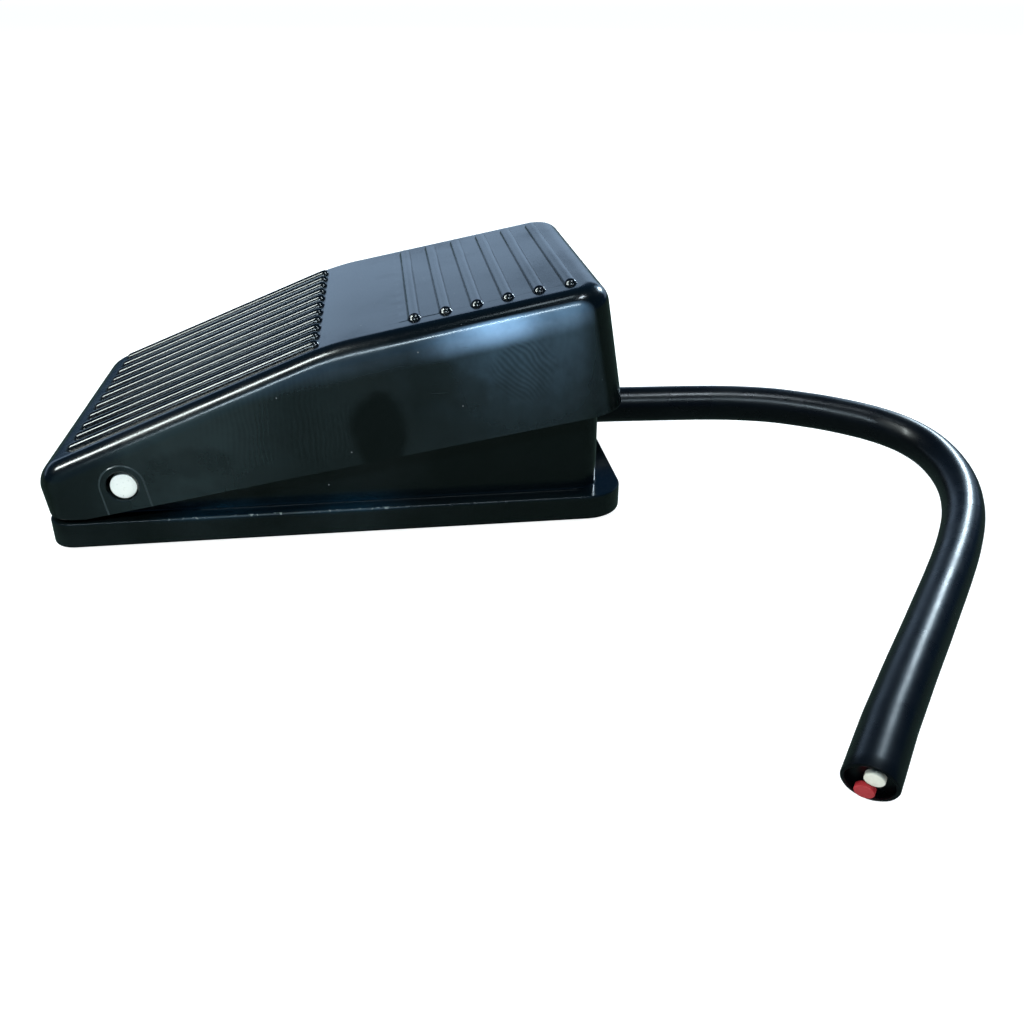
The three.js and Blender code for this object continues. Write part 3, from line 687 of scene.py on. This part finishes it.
def moulded_material(name, color, roughness=0.5):
    """Small matt mouldings, with a fine grain and uneven colour."""
    made = Surface(name, color, roughness, IOR=1.5)
    made.color(made.blend(made.noise(260, 4), tuple(part * 0.82 for part in color), color))
    made.rough(made.remap(made.noise(500, 3), 0.3, 0.7, roughness - 0.08, roughness + 0.1))
    made.bump((made.noise(2200, 2), 0.00001))
    return made.material


JACKET = jacket_material()
RED = insulation_material("red_insulation", (0.42, 0.022, 0.028))
WHITE = insulation_material("white_insulation", (0.72, 0.7, 0.58))
SOLE_RUBBER = rubber_material("sole_rubber", (0.018, 0.018, 0.02))
GROMMET_RUBBER = rubber_material("grommet_rubber", (0.012, 0.012, 0.014), 1400)
PIN_STEEL = pin_material()
SPRING_STEEL = metal_material("spring_steel", (0.5, 0.51, 0.53), 0.3)
ZINC = metal_material("zinc_steel", (0.62, 0.64, 0.66), 0.36)
BRASS = metal_material("blade_brass", (0.66, 0.47, 0.2), 0.32, lines=(14, 1, 1))
SWITCH_BLACK = moulded_material("switch_plastic", (0.02, 0.02, 0.022))
SWITCH_LID = moulded_material("switch_lid_plastic", (0.045, 0.045, 0.048))
PLUNGER_RED = moulded_material("plunger_plastic", (0.4, 0.03, 0.025), 0.4)
NYLON = moulded_material("natural_nylon", (0.62, 0.61, 0.54), 0.42)


# --------------------------------------------------------------------- cable


def smooth_route(points, per_span):
    """A Catmull-Rom curve through the points, `per_span` steps for each span."""
    knots = [Vector(p) for p in points]
    knots = [2 * knots[0] - knots[1], *knots, 2 * knots[-1] - knots[-2]]
    curve = []
    for a, b, c, d in zip(knots, knots[1:], knots[2:], knots[3:]):
        for i in range(per_span):
            t = i / per_span
            curve.append(0.5 * (
                2 * b + (c - a) * t + (2 * a - 5 * b + 4 * c - d) * t ** 2
                + (3 * b - a - 3 * c + d) * t ** 3
            ))
    return [*curve, knots[-2]]


def directions(curve):
    """The direction of travel at each point of a curve."""
    ends = zip([curve[0], *curve], [*curve[1:], curve[-1]])
    return [(after - before).normalized() for before, after in ends]


def sweep_rings(mesh, curve, radius, sides):
    """Rings of one radius round a curve that is nowhere upright."""
    rings = []
    for point, along in zip(curve, directions(curve)):
        across = along.cross(Vector((0, 0, 1))).normalized()
        over = across.cross(along)
        rings.append(add_ring(mesh, [
            point + across * x + over * y for x, y in arc(0, 0, radius, 0, 360, sides)[:-1]
        ]))
    join_rings(mesh, rings)
    return rings


JACKET_WALL = 0.55
CABLE_SIDES = 48
ROUTE_STEPS = 8  # steps of the curve for each span of the route
CUT_STEPS = 14  # steps before the cut that the leaning rings take over
CUT_LEAN = math.radians(21)  # the cutters leaned: the top of the end reaches further


def end_axes(route):
    """Where the cable ends, and its directions out, across and up there."""
    out = (route[-1] - route[-2]).normalized()
    across = out.cross(Vector((0, 0, 1))).normalized()
    return route[-1], out, across, across.cross(out)


def cut_ring(mesh, frame_at, radius, forward, wander=0.0):
    """A ring round the cable's end, in the leaning plane of the cut."""
    end, out, across, over = frame_at
    ring = []
    for i, (x, y) in enumerate(arc(0, 0, radius, 0, 360, CABLE_SIDES)[:-1]):
        ragged = wander * (math.sin(3 * i * math.tau / CABLE_SIDES) + 0.6 * math.sin(1.1 * i))
        reach = forward + y * math.tan(CUT_LEAN) + ragged
        ring.append(end + across * x + over * y + out * reach)
    return add_ring(mesh, ring)


def make_cable():
    """The jacket, with its cut end open and the start of its bore showing."""
    route = smooth_route(CABLE_ROUTE, ROUTE_STEPS)
    start = [Vector((CABLE_START, 0, CABLE_Z)), *route[:-CUT_STEPS]]
    bore = CABLE_RADIUS - JACKET_WALL
    mesh = bmesh.new()
    rings = sweep_rings(mesh, start, CABLE_RADIUS, CABLE_SIDES)
    frame_at = end_axes(route)
    for radius, forward, wander in (
        (CABLE_RADIUS, -2.4, 0), (CABLE_RADIUS, -0.3, 0.02), (CABLE_RADIUS - 0.07, -0.08, 0.03),
        (CABLE_RADIUS - 0.2, 0, 0.04), (bore + 0.1, 0, 0.05), (bore, -0.12, 0.05), (bore, -1.1, 0),
    ):
        ring = cut_ring(mesh, frame_at, radius, forward, wander)
        join_rings(mesh, [rings[-1], ring])
        rings.append(ring)
    mesh.faces.new(rings[-1])
    mesh.faces.new(rings[0])
    piece = new_piece("cable_jacket", mesh, JACKET, "base", ["cable"])
    return piece, route


CORE_RADIUS = 1.25
CORE_PLACES = {"white": (-0.45, 0.9, 0.1), "red": (0.45, -1.5, 0.6)}  # across, up, proud


def make_core(name, color, place, route):
    """An insulated conductor's cut end, from inside the bore to its face."""
    end, out, across, over = end_axes(route)
    sideways, up, proud = place
    mesh = bmesh.new()
    sides = 36
    rings = []
    for forward, radius in ((-1.0, 1), (-0.2, 1), (-0.06, 0.96), (0, 0.84), (0.02, 0.5)):
        ring = []
        for x, y in arc(0, 0, radius * CORE_RADIUS, 0, 360, sides)[:-1]:
            reach = proud + forward + (up + y) * math.tan(CUT_LEAN)
            ring.append(end + across * (sideways + x) + over * (up + y) + out * reach)
        rings.append(add_ring(mesh, ring))
    join_rings(mesh, rings)
    mesh.faces.new(rings[0])
    mesh.faces.new(rings[-1])
    material = WHITE if color == "white" else RED
    return new_piece(name, mesh, material, "base", [f"core_{color}"])


cable, cable_route = make_cable()
cores = [
    make_core(f"cut_core_{color}", color, place, cable_route)
    for color, place in CORE_PLACES.items()
]


# --------------------------------------------------------------------- cover


def distance_to_rib(x, y):
    """How far a point of the top is from the middle line of the nearest rib."""
    row = max(-LONG_RIB_SIDE, min(LONG_RIB_SIDE, round(y / LONG_RIB_PITCH)))
    clamped = max(LONG_RIB_FRONT, min(LONG_RIB_REAR, x))
    along = math.hypot(x - clamped, y - row * LONG_RIB_PITCH)
    index = max(0, min(CROSS_RIB_COUNT - 1, round((x - CROSS_RIB_FIRST) / CROSS_RIB_PITCH)))
    middle = CROSS_RIB_FIRST + index * CROSS_RIB_PITCH
    clamped = max(-CROSS_RIB_HALF, min(CROSS_RIB_HALF, y))
    across = math.hypot(x - middle, y - clamped)
    return min(along, across)


def rib_height(x, y):
    distance = distance_to_rib(x, y)
    if distance >= RIB_HALF:
        return 0
    return math.sqrt(RIB_RADIUS ** 2 - distance ** 2) + RIB_LIFT


INSERT = (CROSS_RIB_FIRST - 2.6, 22.6, 24.9)  # front, rear, half of a faint mould insert
INSERT_STEP = 0.03


def insert_step(x, y):
    """The tiny step up inside the mould insert's outline."""
    front, rear, half = INSERT
    return INSERT_STEP if front < x < rear and abs(y) < half else 0


ACROSS_RIB = (0, 0.25, 0.5, 0.7, 0.84, 0.94, 0.995, 1.08)  # shares of a rib's half width
NET_FRONT, NET_REAR, NET_HALF = -46.05, 45.5, 27.2  # the net of faces inside the rim


def spread(middle):
    """Grid lines across a rib, closer together near its edges."""
    shares = sorted({*ACROSS_RIB, *(-share for share in ACROSS_RIB)})
    return [middle + share * RIB_HALF for share in shares]


def thinned(values, low, high, least=0.035):
    """Sorted values from low to high, with near repeats left out."""
    kept = [low]
    for value in sorted(values):
        if low + least < value < high - least and value - kept[-1] > least:
            kept.append(value)
    return [*kept, high]


def grid_lines():
    """The net's lines: across every rib, at the insert's edges and along the curve."""
    xs, ys = [], []
    for row in range(-LONG_RIB_SIDE, LONG_RIB_SIDE + 1):
        ys += spread(row * LONG_RIB_PITCH)
    for index in range(CROSS_RIB_COUNT):
        xs += spread(CROSS_RIB_FIRST + index * CROSS_RIB_PITCH)
    for share in ACROSS_RIB:
        xs += [LONG_RIB_FRONT - share * RIB_HALF, LONG_RIB_REAR + share * RIB_HALF]
        ys += [side * (CROSS_RIB_HALF + share * RIB_HALF) for side in (-1, 1)]
    front, rear, half = INSERT
    for edge in (-0.04, 0.04):
        xs += [front + edge, rear + edge]
        ys += [-half + edge, half + edge]
    xs += BREAK_STATIONS
    xs += [-39 + 6 * i for i in range(7)] + [10]
    return thinned(xs, NET_FRONT, NET_REAR), thinned(ys, -NET_HALF, NET_HALF)


def zip_rings(mesh, outer, inner):
    """Triangles between two closed rings of points that run the same way round."""
    start = min(range(len(inner)), key=lambda k: (inner[k].co - outer[0].co).length)
    inner = inner[start:] + inner[:start]
    i = j = 0
    while i < len(outer) or j < len(inner):
        a, b = outer[i % len(outer)], inner[j % len(inner)]
        next_a, next_b = outer[(i + 1) % len(outer)], inner[(j + 1) % len(inner)]
        step_outer = (next_a.co - b.co).length <= (next_b.co - a.co).length
        if i >= len(outer):
            step_outer = False
        elif j >= len(inner):
            step_outer = True
        if step_outer:
            mesh.faces.new((a, next_a, b))
            i += 1
        else:
            mesh.faces.new((a, next_b, b))
            j += 1


def ribbed_top(mesh, rim_ring):
    """The top inside the rim, as one net of faces that rises over the ribs."""
    xs, ys = grid_lines()
    net = [
        [mesh.verts.new((x, y, top_height(x) + rib_height(x, y) + insert_step(x, y))) for y in ys]
        for x in xs
    ]
    for column, following in zip(net, net[1:]):
        for k in range(len(ys) - 1):
            mesh.faces.new((column[k], following[k], following[k + 1], column[k + 1]))
    near = [column[0] for column in net]
    rear = net[-1][1:]
    far = [column[-1] for column in reversed(net[:-1])]
    front = list(reversed(net[0][1:-1]))
    zip_rings(mesh, rim_ring, near + rear + far + front)


COVER_STATIONS = [RELIEF_X, -38, -30, -22, -14, -7, *BREAK_STATIONS, 12, 18, 24, 30, 37]
RIM_STEPS = 16
LIP = 0.3


def drafted(amount):
    """The cover's plan near its top, where its walls lean in."""
    plan = COVER.inset(amount)
    return replace(plan, front=plan.front + FRONT_DRAFT, half=plan.half - SIDE_DRAFT)


def cover_rings():
    """Rings from the roof's underside, down inside, under the lip and up to the top."""
    soft = 1.2
    rings = []
    for i in range(6):
        turn = i / 5 * math.pi / 2
        amount = WALL + soft * (1 - math.sin(turn))
        drop = WALL + soft * (1 - math.cos(turn))
        rings.append((drafted(amount), lambda x, drop=drop: top_height(x) - drop))
    rings.append((COVER.inset(WALL), lambda x: bottom_height(x) + LIP))
    rings.append((COVER.inset(WALL - LIP), bottom_height))
    rings.append((COVER.inset(LIP), bottom_height))
    rings.append((COVER.inset(LIP * 0.3), lambda x: bottom_height(x) + LIP * 0.3))
    rings.append((COVER, lambda x: bottom_height(x) + LIP))
    for i in range(RIM_STEPS + 1):
        turn = i / RIM_STEPS * math.pi / 2
        amount = RIM * (1 - math.cos(turn))
        drop = RIM * (1 - math.sin(turn))
        rings.append((drafted(amount), lambda x, drop=drop: top_height(x) - drop))
    return [plan.ring(height, COVER_STATIONS) for plan, height in rings]


def wall_y(z):
    """The side wall's distance from the middle, near the hinge."""
    share = (z - COVER_BOTTOM) / (top_height(PIN_X) - RIM - COVER_BOTTOM)
    return COVER.half - SIDE_DRAFT * share


PIN_PAD_HALF = 3.6
PIN_PAD_PROUD = 0.13
PIN_PAD_FEET = (3.4, 4.2)  # how far under the pin, at the front and at the rear


def hinge_pads():
    """The arch-shaped pads that stand a little proud round the pin's ends."""
    front_foot, rear_foot = PIN_PAD_FEET
    steps = ((0.14, -1.0), (0.14, -0.02), (0.04, PIN_PAD_PROUD - 0.03), (-0.1, PIN_PAD_PROUD))
    pads = []
    for side in (-1, 1):
        mesh = bmesh.new()
        rings = []
        for grow, proud in steps:
            half = PIN_PAD_HALF + grow
            outline = [
                *arc(PIN_X, PIN_Z, half, 0, 180, 40),
                (PIN_X - half, PIN_Z - front_foot - grow),
                (PIN_X + half, PIN_Z - rear_foot - grow),
            ]
            rings.append(add_ring(mesh, [(x, side * (wall_y(z) + proud), z) for x, z in outline]))
        join_rings(mesh, rings)
        mesh.faces.new(rings[0])
        mesh.faces.new(rings[-1])
        pads.append(mesh)
    return pads


def cover_cuts():
    """The pin's hole, its edges eased at both walls, and the notch for the cable."""
    reach, ease = COVER.half + PIN_PAD_PROUD, 0.22
    hole = turned([
        (0, -reach - 1), (PIN_HOLE_RADIUS + ease + 1, -reach - 1), (PIN_HOLE_RADIUS, -reach + ease),
        (PIN_HOLE_RADIUS, reach - ease), (PIN_HOLE_RADIUS + ease + 1, reach + 1), (0, reach + 1),
    ], 64, "y")
    hole.transform(Matrix.Translation((PIN_X, 0, PIN_Z)))
    shoulder = NOTCH_TOP - NOTCH_HALF
    outline = [(-NOTCH_HALF, 0), (NOTCH_HALF, 0), *arc(0, shoulder, NOTCH_HALF, 0, 180, 32)]
    notch = bmesh.new()
    back, front = skin(notch, [[(x, y, z) for y, z in outline] for x in (40, 60)])
    notch.faces.new(back)
    notch.faces.new(front)
    return [hole, notch]


def make_cover():
    mesh = bmesh.new()
    rings = skin(mesh, cover_rings())
    cap_across(mesh, rings[0])
    ribbed_top(mesh, rings[-1])
    bmesh.ops.recalc_face_normals(mesh, faces=mesh.faces)
    mesh = combine(mesh, hinge_pads(), "UNION")
    mesh = combine(mesh, cover_cuts(), "DIFFERENCE")
    mesh.transform(raised())
    cover = new_piece("ribbed_cover", mesh, cover_plastic, "pedal", ["pedal_cover"])
    weighted_normals(cover)
    return cover


make_cover()


# ---------------------------------------------------------------------- base


BOX_BEND_X = -31  # the walls follow the roof behind this, and the boss before it
BOSS_LEAVES = math.radians(110)
BOSS_MEETS = math.radians(170)
BOX_FRONT_DROP = 1  # the front wall's top under the pin's axis


def box_top(x):
    """The top edge of the base's walls, under the cover's roof and over the pin."""
    limit = top_height(max(x, BOX_BEND_X)) - WALL - BOX_HEADROOM
    boss_start = PIN_X + PIN_BOSS * math.cos(BOSS_LEAVES)
    boss_end = PIN_X + PIN_BOSS * math.cos(BOSS_MEETS)
    if x > BOX_BEND_X:
        return limit
    if x > boss_start:
        crown = PIN_Z + PIN_BOSS * math.sin(BOSS_LEAVES)
        share = (x - boss_start) / (BOX_BEND_X - boss_start)
        return crown + (limit - crown) * share
    if x > boss_end:
        return PIN_Z + math.sqrt(max(0, PIN_BOSS ** 2 - (x - PIN_X) ** 2))
    shoulder = PIN_Z + PIN_BOSS * math.sin(BOSS_MEETS)
    share = (x - BOX.front) / (boss_end - BOX.front)
    return PIN_Z - BOX_FRONT_DROP + (shoulder - PIN_Z + BOX_FRONT_DROP) * share


BOX_STATIONS = [-39, -38.4, -37.9, -34, BOX_BEND_X, -20, -10, *BREAK_STATIONS, 12, 24, 36]
EDGE = 0.35


def base_rings():
    """Rings from the sole's recess, round the flange, up the walls and down inside."""
    recess = SOLE.inset(-GAP)
    inside = BOX.inset(BOX_WALL)
    rings = [
        (recess, SOLE_THICKNESS + GAP), (recess, FLANGE_BOTTOM),
        (FLANGE.inset(EDGE), FLANGE_BOTTOM), (FLANGE.inset(0.1), FLANGE_BOTTOM + 0.1),
        (FLANGE, FLANGE_BOTTOM + EDGE), (FLANGE, FLANGE_TOP - EDGE),
        (FLANGE.inset(0.03), FLANGE_TOP - 0.18), (FLANGE.inset(0.12), FLANGE_TOP - 0.05),
        (FLANGE.inset(0.28), FLANGE_TOP),
        (BOX.inset(-0.4), FLANGE_TOP), (BOX.inset(-0.12), FLANGE_TOP + 0.1), (BOX, FLANGE_TOP + 0.4),
        (BOX, lambda x: box_top(x) - EDGE), (BOX.inset(0.1), lambda x: box_top(x) - 0.1),
        (BOX.inset(EDGE), box_top), (BOX.inset(BOX_WALL - EDGE), box_top),
        (inside, lambda x: box_top(x) - EDGE), (inside, BOX_FLOOR + 0.6),
        (inside.inset(0.18), BOX_FLOOR + 0.18), (inside.inset(0.6), BOX_FLOOR),
    ]
    return [plan.ring(height, BOX_STATIONS) for plan, height in rings]


SWITCH_Y = -16
BRACKET_PADS = [(-3, SWITCH_Y + 11), (12, SWITCH_Y + 11)]
SPRING_X, SPRING_Y = 9, 12
CLAMP_X, CLAMP_SCREW_Y = 38.7, 8.4
PAD_RADIUS = 3.4
PAD_FOOT = 3  # pads start inside the floor
BRACKET_PAD_TOP, SPRING_PAD_TOP, CLAMP_PAD_TOP = 6.5, 7.5, 6.4
BOSS_LENGTH = 4.2
SCREW_HOLE = 1.8
SCREW_HOLE_FOOT, SCREW_HOLE_TOP = 2.6, 8
GROMMET_HOLE = 4.8


def base_additions():
    """Pads for the bracket, the spring and the clamp, and a boss at each end of the pin."""
    pads = [
        bar(PAD_RADIUS, PAD_FOOT, BRACKET_PAD_TOP, "z", (x, y, 0)) for x, y in BRACKET_PADS
    ]
    pads.append(bar(PAD_RADIUS, PAD_FOOT, SPRING_PAD_TOP, "z", (SPRING_X, SPRING_Y, 0)))
    along, across = 2.8, CLAMP_SCREW_Y + 3
    pads.append(brick(
        (CLAMP_X - along, -across, PAD_FOOT),
        (CLAMP_X + along, across, CLAMP_PAD_TOP),
    ))
    inside = BOX.half - BOX_WALL
    for low, high in ((-inside - 1, BOSS_LENGTH - inside), (inside - BOSS_LENGTH, inside + 1)):
        pads.append(bar(PIN_BOSS, low, high, "y", (PIN_X, 0, PIN_Z)))
    return pads


def base_cuts():
    """Screw holes, the pin's holes and the hole for the bush."""
    screws = [*BRACKET_PADS, (CLAMP_X, -CLAMP_SCREW_Y), (CLAMP_X, CLAMP_SCREW_Y)]
    cuts = [
        bar(SCREW_HOLE, SCREW_HOLE_FOOT, SCREW_HOLE_TOP, "z", (x, y, 0), 24) for x, y in screws
    ]
    cuts.append(bar(PIN_RADIUS + GAP, -40, 40, "y", (PIN_X, 0, PIN_Z)))
    cuts.append(bar(GROMMET_HOLE, 41, 60, "x", (0, 0, CABLE_Z)))
    return cuts


def make_base():
    mesh = bmesh.new()
    rings = skin(mesh, base_rings())
    cap_across(mesh, rings[0])
    cap_across(mesh, rings[-1])
    bmesh.ops.recalc_face_normals(mesh, faces=mesh.faces)
    mesh = combine(mesh, base_additions(), "UNION")
    mesh = combine(mesh, base_cuts(), "DIFFERENCE")
    base = new_piece("flanged_base", mesh, base_plastic, "base", ["base_housing"])
    weighted_normals(base)
    return base


make_base()


def make_sole():
    """The rubber sole, with eased edges and shallow grooves across its underside."""
    mesh = bmesh.new()
    rings = skin(mesh, [
        plan.ring(height, [-30, -15, 0, 15, 30], 8) for plan, height in (
            (SOLE.inset(0.25), 0), (SOLE.inset(0.07), 0.07), (SOLE, 0.25),
            (SOLE, SOLE_THICKNESS - 0.2), (SOLE.inset(0.2), SOLE_THICKNESS),
        )
    ])
    cap_across(mesh, rings[0])
    cap_across(mesh, rings[-1])
    grooves = []
    for i in range(-7, 8):
        grooves.append(brick((i * 6 - 0.6, -SOLE.half + 3, -1), (i * 6 + 0.6, SOLE.half - 3, 0.4)))
    bmesh.ops.recalc_face_normals(mesh, faces=mesh.faces)
    mesh = combine(mesh, grooves, "DIFFERENCE")
    sole = new_piece("grooved_sole", mesh, SOLE_RUBBER, "base", ["rubber_sole"])
    weighted_normals(sole)


make_sole()


def make_pin():
    """The steel pin: cropped ends, each with an eased edge and a sheared flat."""
    ease = 0.3
    pin = turned([
        (0, -PIN_HALF), (1.2, -PIN_HALF + 0.02), (PIN_RADIUS - ease, -PIN_HALF + 0.06),
        (PIN_RADIUS - 0.08, -PIN_HALF + 0.16), (PIN_RADIUS, -PIN_HALF + 0.42),
        (PIN_RADIUS, PIN_HALF - 0.42), (PIN_RADIUS - 0.08, PIN_HALF - 0.16),
        (PIN_RADIUS - ease, PIN_HALF - 0.06), (1.2, PIN_HALF - 0.02), (0, PIN_HALF),
    ], 72, "y")
    shears = []
    for side in (-1, 1):
        shear = brick((-4, -1, -4), (4, 1, 0))
        shear.transform(
            Matrix.Translation((0, side * (PIN_HALF + 0.86), -1.35))
            @ Matrix.Rotation(side * math.radians(16), 4, "X")
        )
        shear.transform(Matrix.Rotation(math.radians(38), 4, "Y"))
        shears.append(shear)
    pin = combine(pin, shears, "DIFFERENCE")
    pin.transform(Matrix.Translation((PIN_X + 0.12, 0, PIN_Z - 0.22)))
    made = new_piece("cropped_pin", pin, PIN_STEEL, "base", ["hinge_pin"])
    weighted_normals(made)


make_pin()


SPRING_RADIUS, SPRING_WIRE, SPRING_TURNS = 5.2, 0.55, 7
SPRING_CLOSED = 0.9  # height taken by the closed turn at each end
SPRING_STEPS, SPRING_SIDES = 28, 12  # for each turn, and round the wire


def make_spring():
    """A compression spring, coiled between the ends of the CAD model's spring."""
    low, high = (corner.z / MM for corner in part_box("return_spring"))
    bottom, top = low + SPRING_WIRE, high - SPRING_WIRE
    open_pitch = (top - bottom - 2 * SPRING_CLOSED) / (SPRING_TURNS - 2)
    curve = []
    for i in range(SPRING_TURNS * SPRING_STEPS + 1):
        turns = i / SPRING_STEPS
        opened = max(0, min(turns, SPRING_TURNS - 1) - 1)
        closed = min(turns, 1) + max(0, turns - (SPRING_TURNS - 1))
        angle = turns * math.tau
        curve.append(Vector((
            SPRING_X + SPRING_RADIUS * math.cos(angle),
            SPRING_Y + SPRING_RADIUS * math.sin(angle),
            bottom + SPRING_CLOSED * closed + open_pitch * opened,
        )))
    mesh = bmesh.new()
    rings = sweep_rings(mesh, curve, SPRING_WIRE, SPRING_SIDES)
    mesh.faces.new(rings[0])
    mesh.faces.new(rings[-1])
    piece = new_piece("coiled_spring", mesh, SPRING_STEEL, "base", ["return_spring"])
    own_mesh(piece)


make_spring()


def make_grommet():
    """The rubber bush in the rear wall, with rounded flanges."""
    outer_face, inner_face = BOX.rear + GAP, BOX.rear - BOX_WALL - GAP
    flange, bore = 1.4, CABLE_RADIUS + 0.06
    body = GROMMET_HOLE - GAP
    sides = 56
    profile = [
        (bore, inner_face - flange), (5.4, inner_face - flange), (5.8, inner_face - flange + 0.4),
        (5.8, inner_face), (body, inner_face), (body, outer_face), (5.1, outer_face),
        (5.1, outer_face + flange - 0.5), (4.9, outer_face + flange - 0.12),
        (4.5, outer_face + flange), (bore + 0.2, outer_face + flange), (bore, outer_face + flange - 0.2),
    ]
    mesh = bmesh.new()
    rings = []
    for radius, x in profile:
        circle = arc(0, CABLE_Z, radius, 0, 360, sides)[:-1]
        rings.append(add_ring(mesh, [(x, y, z) for y, z in circle]))
    join_rings(mesh, [*rings, rings[0]])
    made = new_piece("cable_bush", mesh, GROMMET_RUBBER, "base", ["cable_grommet"])
    weighted_normals(made)


make_grommet()


# -------------------------------------------- the CAD nodes that stay as they are

FINISHES = {
    "zinc_steel": ZINC,
    "spring_steel": SPRING_STEEL,
    "blade_brass": BRASS,
    "switch_plastic": SWITCH_BLACK,
    "switch_lid_plastic": SWITCH_LID,
    "plunger_plastic": PLUNGER_RED,
    "natural_nylon": NYLON,
    "white_insulation": WHITE,
    "red_insulation": RED,
    "cable_jacket": JACKET,
    "cover_plastic": cover_plastic,
    "base_plastic": base_plastic,
    "sole_rubber": SOLE_RUBBER,
    "grommet_rubber": GROMMET_RUBBER,
    "pin_steel": PIN_STEEL,
}


def finish_cad_nodes():
    for entry in frame["record"]["subparts"]:
        node = frame["nodes"][entry["node"]]
        node.data.materials.clear()
        node.data.materials.append(FINISHES[entry["material_slot"]])


finish_cad_nodes()


# ----------------------------------------------------------- floor and lights


def make_floor():
    mesh = bmesh.new()
    bmesh.ops.create_grid(mesh, x_segments=1, y_segments=1, size=60)
    data = bpy.data.meshes.new("floor")
    mesh.to_mesh(data)
    mesh.free()
    floor = bpy.data.objects.new("floor", data)
    bpy.context.scene.collection.objects.link(floor)
    paper = Surface("floor_paper", (0.45, 0.45, 0.445), 0.9)
    paper.color(paper.blend(paper.noise(3, 2), (0.44, 0.44, 0.435), (0.46, 0.46, 0.455)))
    floor.data.materials.append(paper.material)
    paper.feed(paper.shader.inputs["Emission Color"], (0.98, 1.0, 1.0, 1))
    paper.feed(paper.shader.inputs["Emission Strength"], 0.97)
    floor.visible_glossy = False


def add_light(name, place, target, size, radiance, color=(1, 1, 1)):
    """A soft rectangular light that faces its target."""
    data = bpy.data.lights.new(name, "AREA")
    data.shape = "RECTANGLE"
    data.size, data.size_y = size
    data.energy = radiance * size[0] * size[1] * math.pi
    data.color = color
    light = bpy.data.objects.new(name, data)
    light.location = place
    light.rotation_euler = (Vector(target) - Vector(place)).to_track_quat("-Z", "Y").to_euler()
    light.visible_camera = False
    bpy.context.scene.collection.objects.link(light)


def make_world():
    """Dim light all round: navy above the horizon, grey-green below."""
    world = bpy.data.worlds.new("studio")
    world.use_nodes = True
    tree = world.node_tree
    background = tree.nodes["Background"]
    place = tree.nodes.new("ShaderNodeTexCoord").outputs["Generated"]
    height = tree.nodes.new("ShaderNodeSeparateXYZ")
    tree.links.new(place, height.inputs[0])
    above = tree.nodes.new("ShaderNodeMapRange")
    above.inputs["From Min"].default_value = -0.04
    above.inputs["From Max"].default_value = 0.04
    tree.links.new(height.outputs["Z"], above.inputs["Value"])
    halves = tree.nodes.new("ShaderNodeMix")
    halves.data_type = "RGBA"
    halves.inputs[6].default_value = (0.055, 0.095, 0.085, 1)
    halves.inputs[7].default_value = (0.012, 0.045, 0.11, 1)
    tree.links.new(above.outputs[0], halves.inputs[0])
    tree.links.new(halves.outputs[2], background.inputs["Color"])
    background.inputs["Strength"].default_value = 1
    bpy.context.scene.world = world


def make_lights():
    middle = (0, 0, 0.02)
    add_light("window", (-14, 30, 7.3), (-14, 0, 7.3), (120, 6.2), 0.76, (0.72, 0.98, 1.3))
    add_light("window_sill", (10, 30, 2.2), (10, 0, 2.2), (38, 4), 0.62, (0.72, 0.98, 1.3))
    add_light("bright_pane", (1.6, 1.67, 1.1), (0.095, -0.065, 0), (0.36, 0.34), 48, (0.82, 1.0, 1.12))
    add_light("dim_pane", (1.6, 1.67, 1.1), (0.095, -0.065, 0), (1.0, 0.9), 1.6, (0.6, 0.95, 1.3))
    add_light("ceiling_left", (-0.95, -0.04, 1.18), middle, (0.19, 0.8), 42, (0.9, 1.0, 0.98))
    add_light("ceiling_top", (-0.1, 0.02, 1.5), middle, (0.24, 0.08), 7, (0.8, 1.0, 1.1))
    add_light("ceiling_front", (-0.36, -1.1, 1.1), (-0.36, 0, 0.02), (1.38, 0.11), 26, (0.8, 1.0, 1.12))
    add_light("ceiling_right", (0.36, -0.24, 1.43), (0.07, 0, 0), (0.26, 0.12), 52, (0.85, 0.98, 1.08))


make_floor()
make_world()
make_lights()
bpy.context.scene.view_settings.view_transform = "Standard"
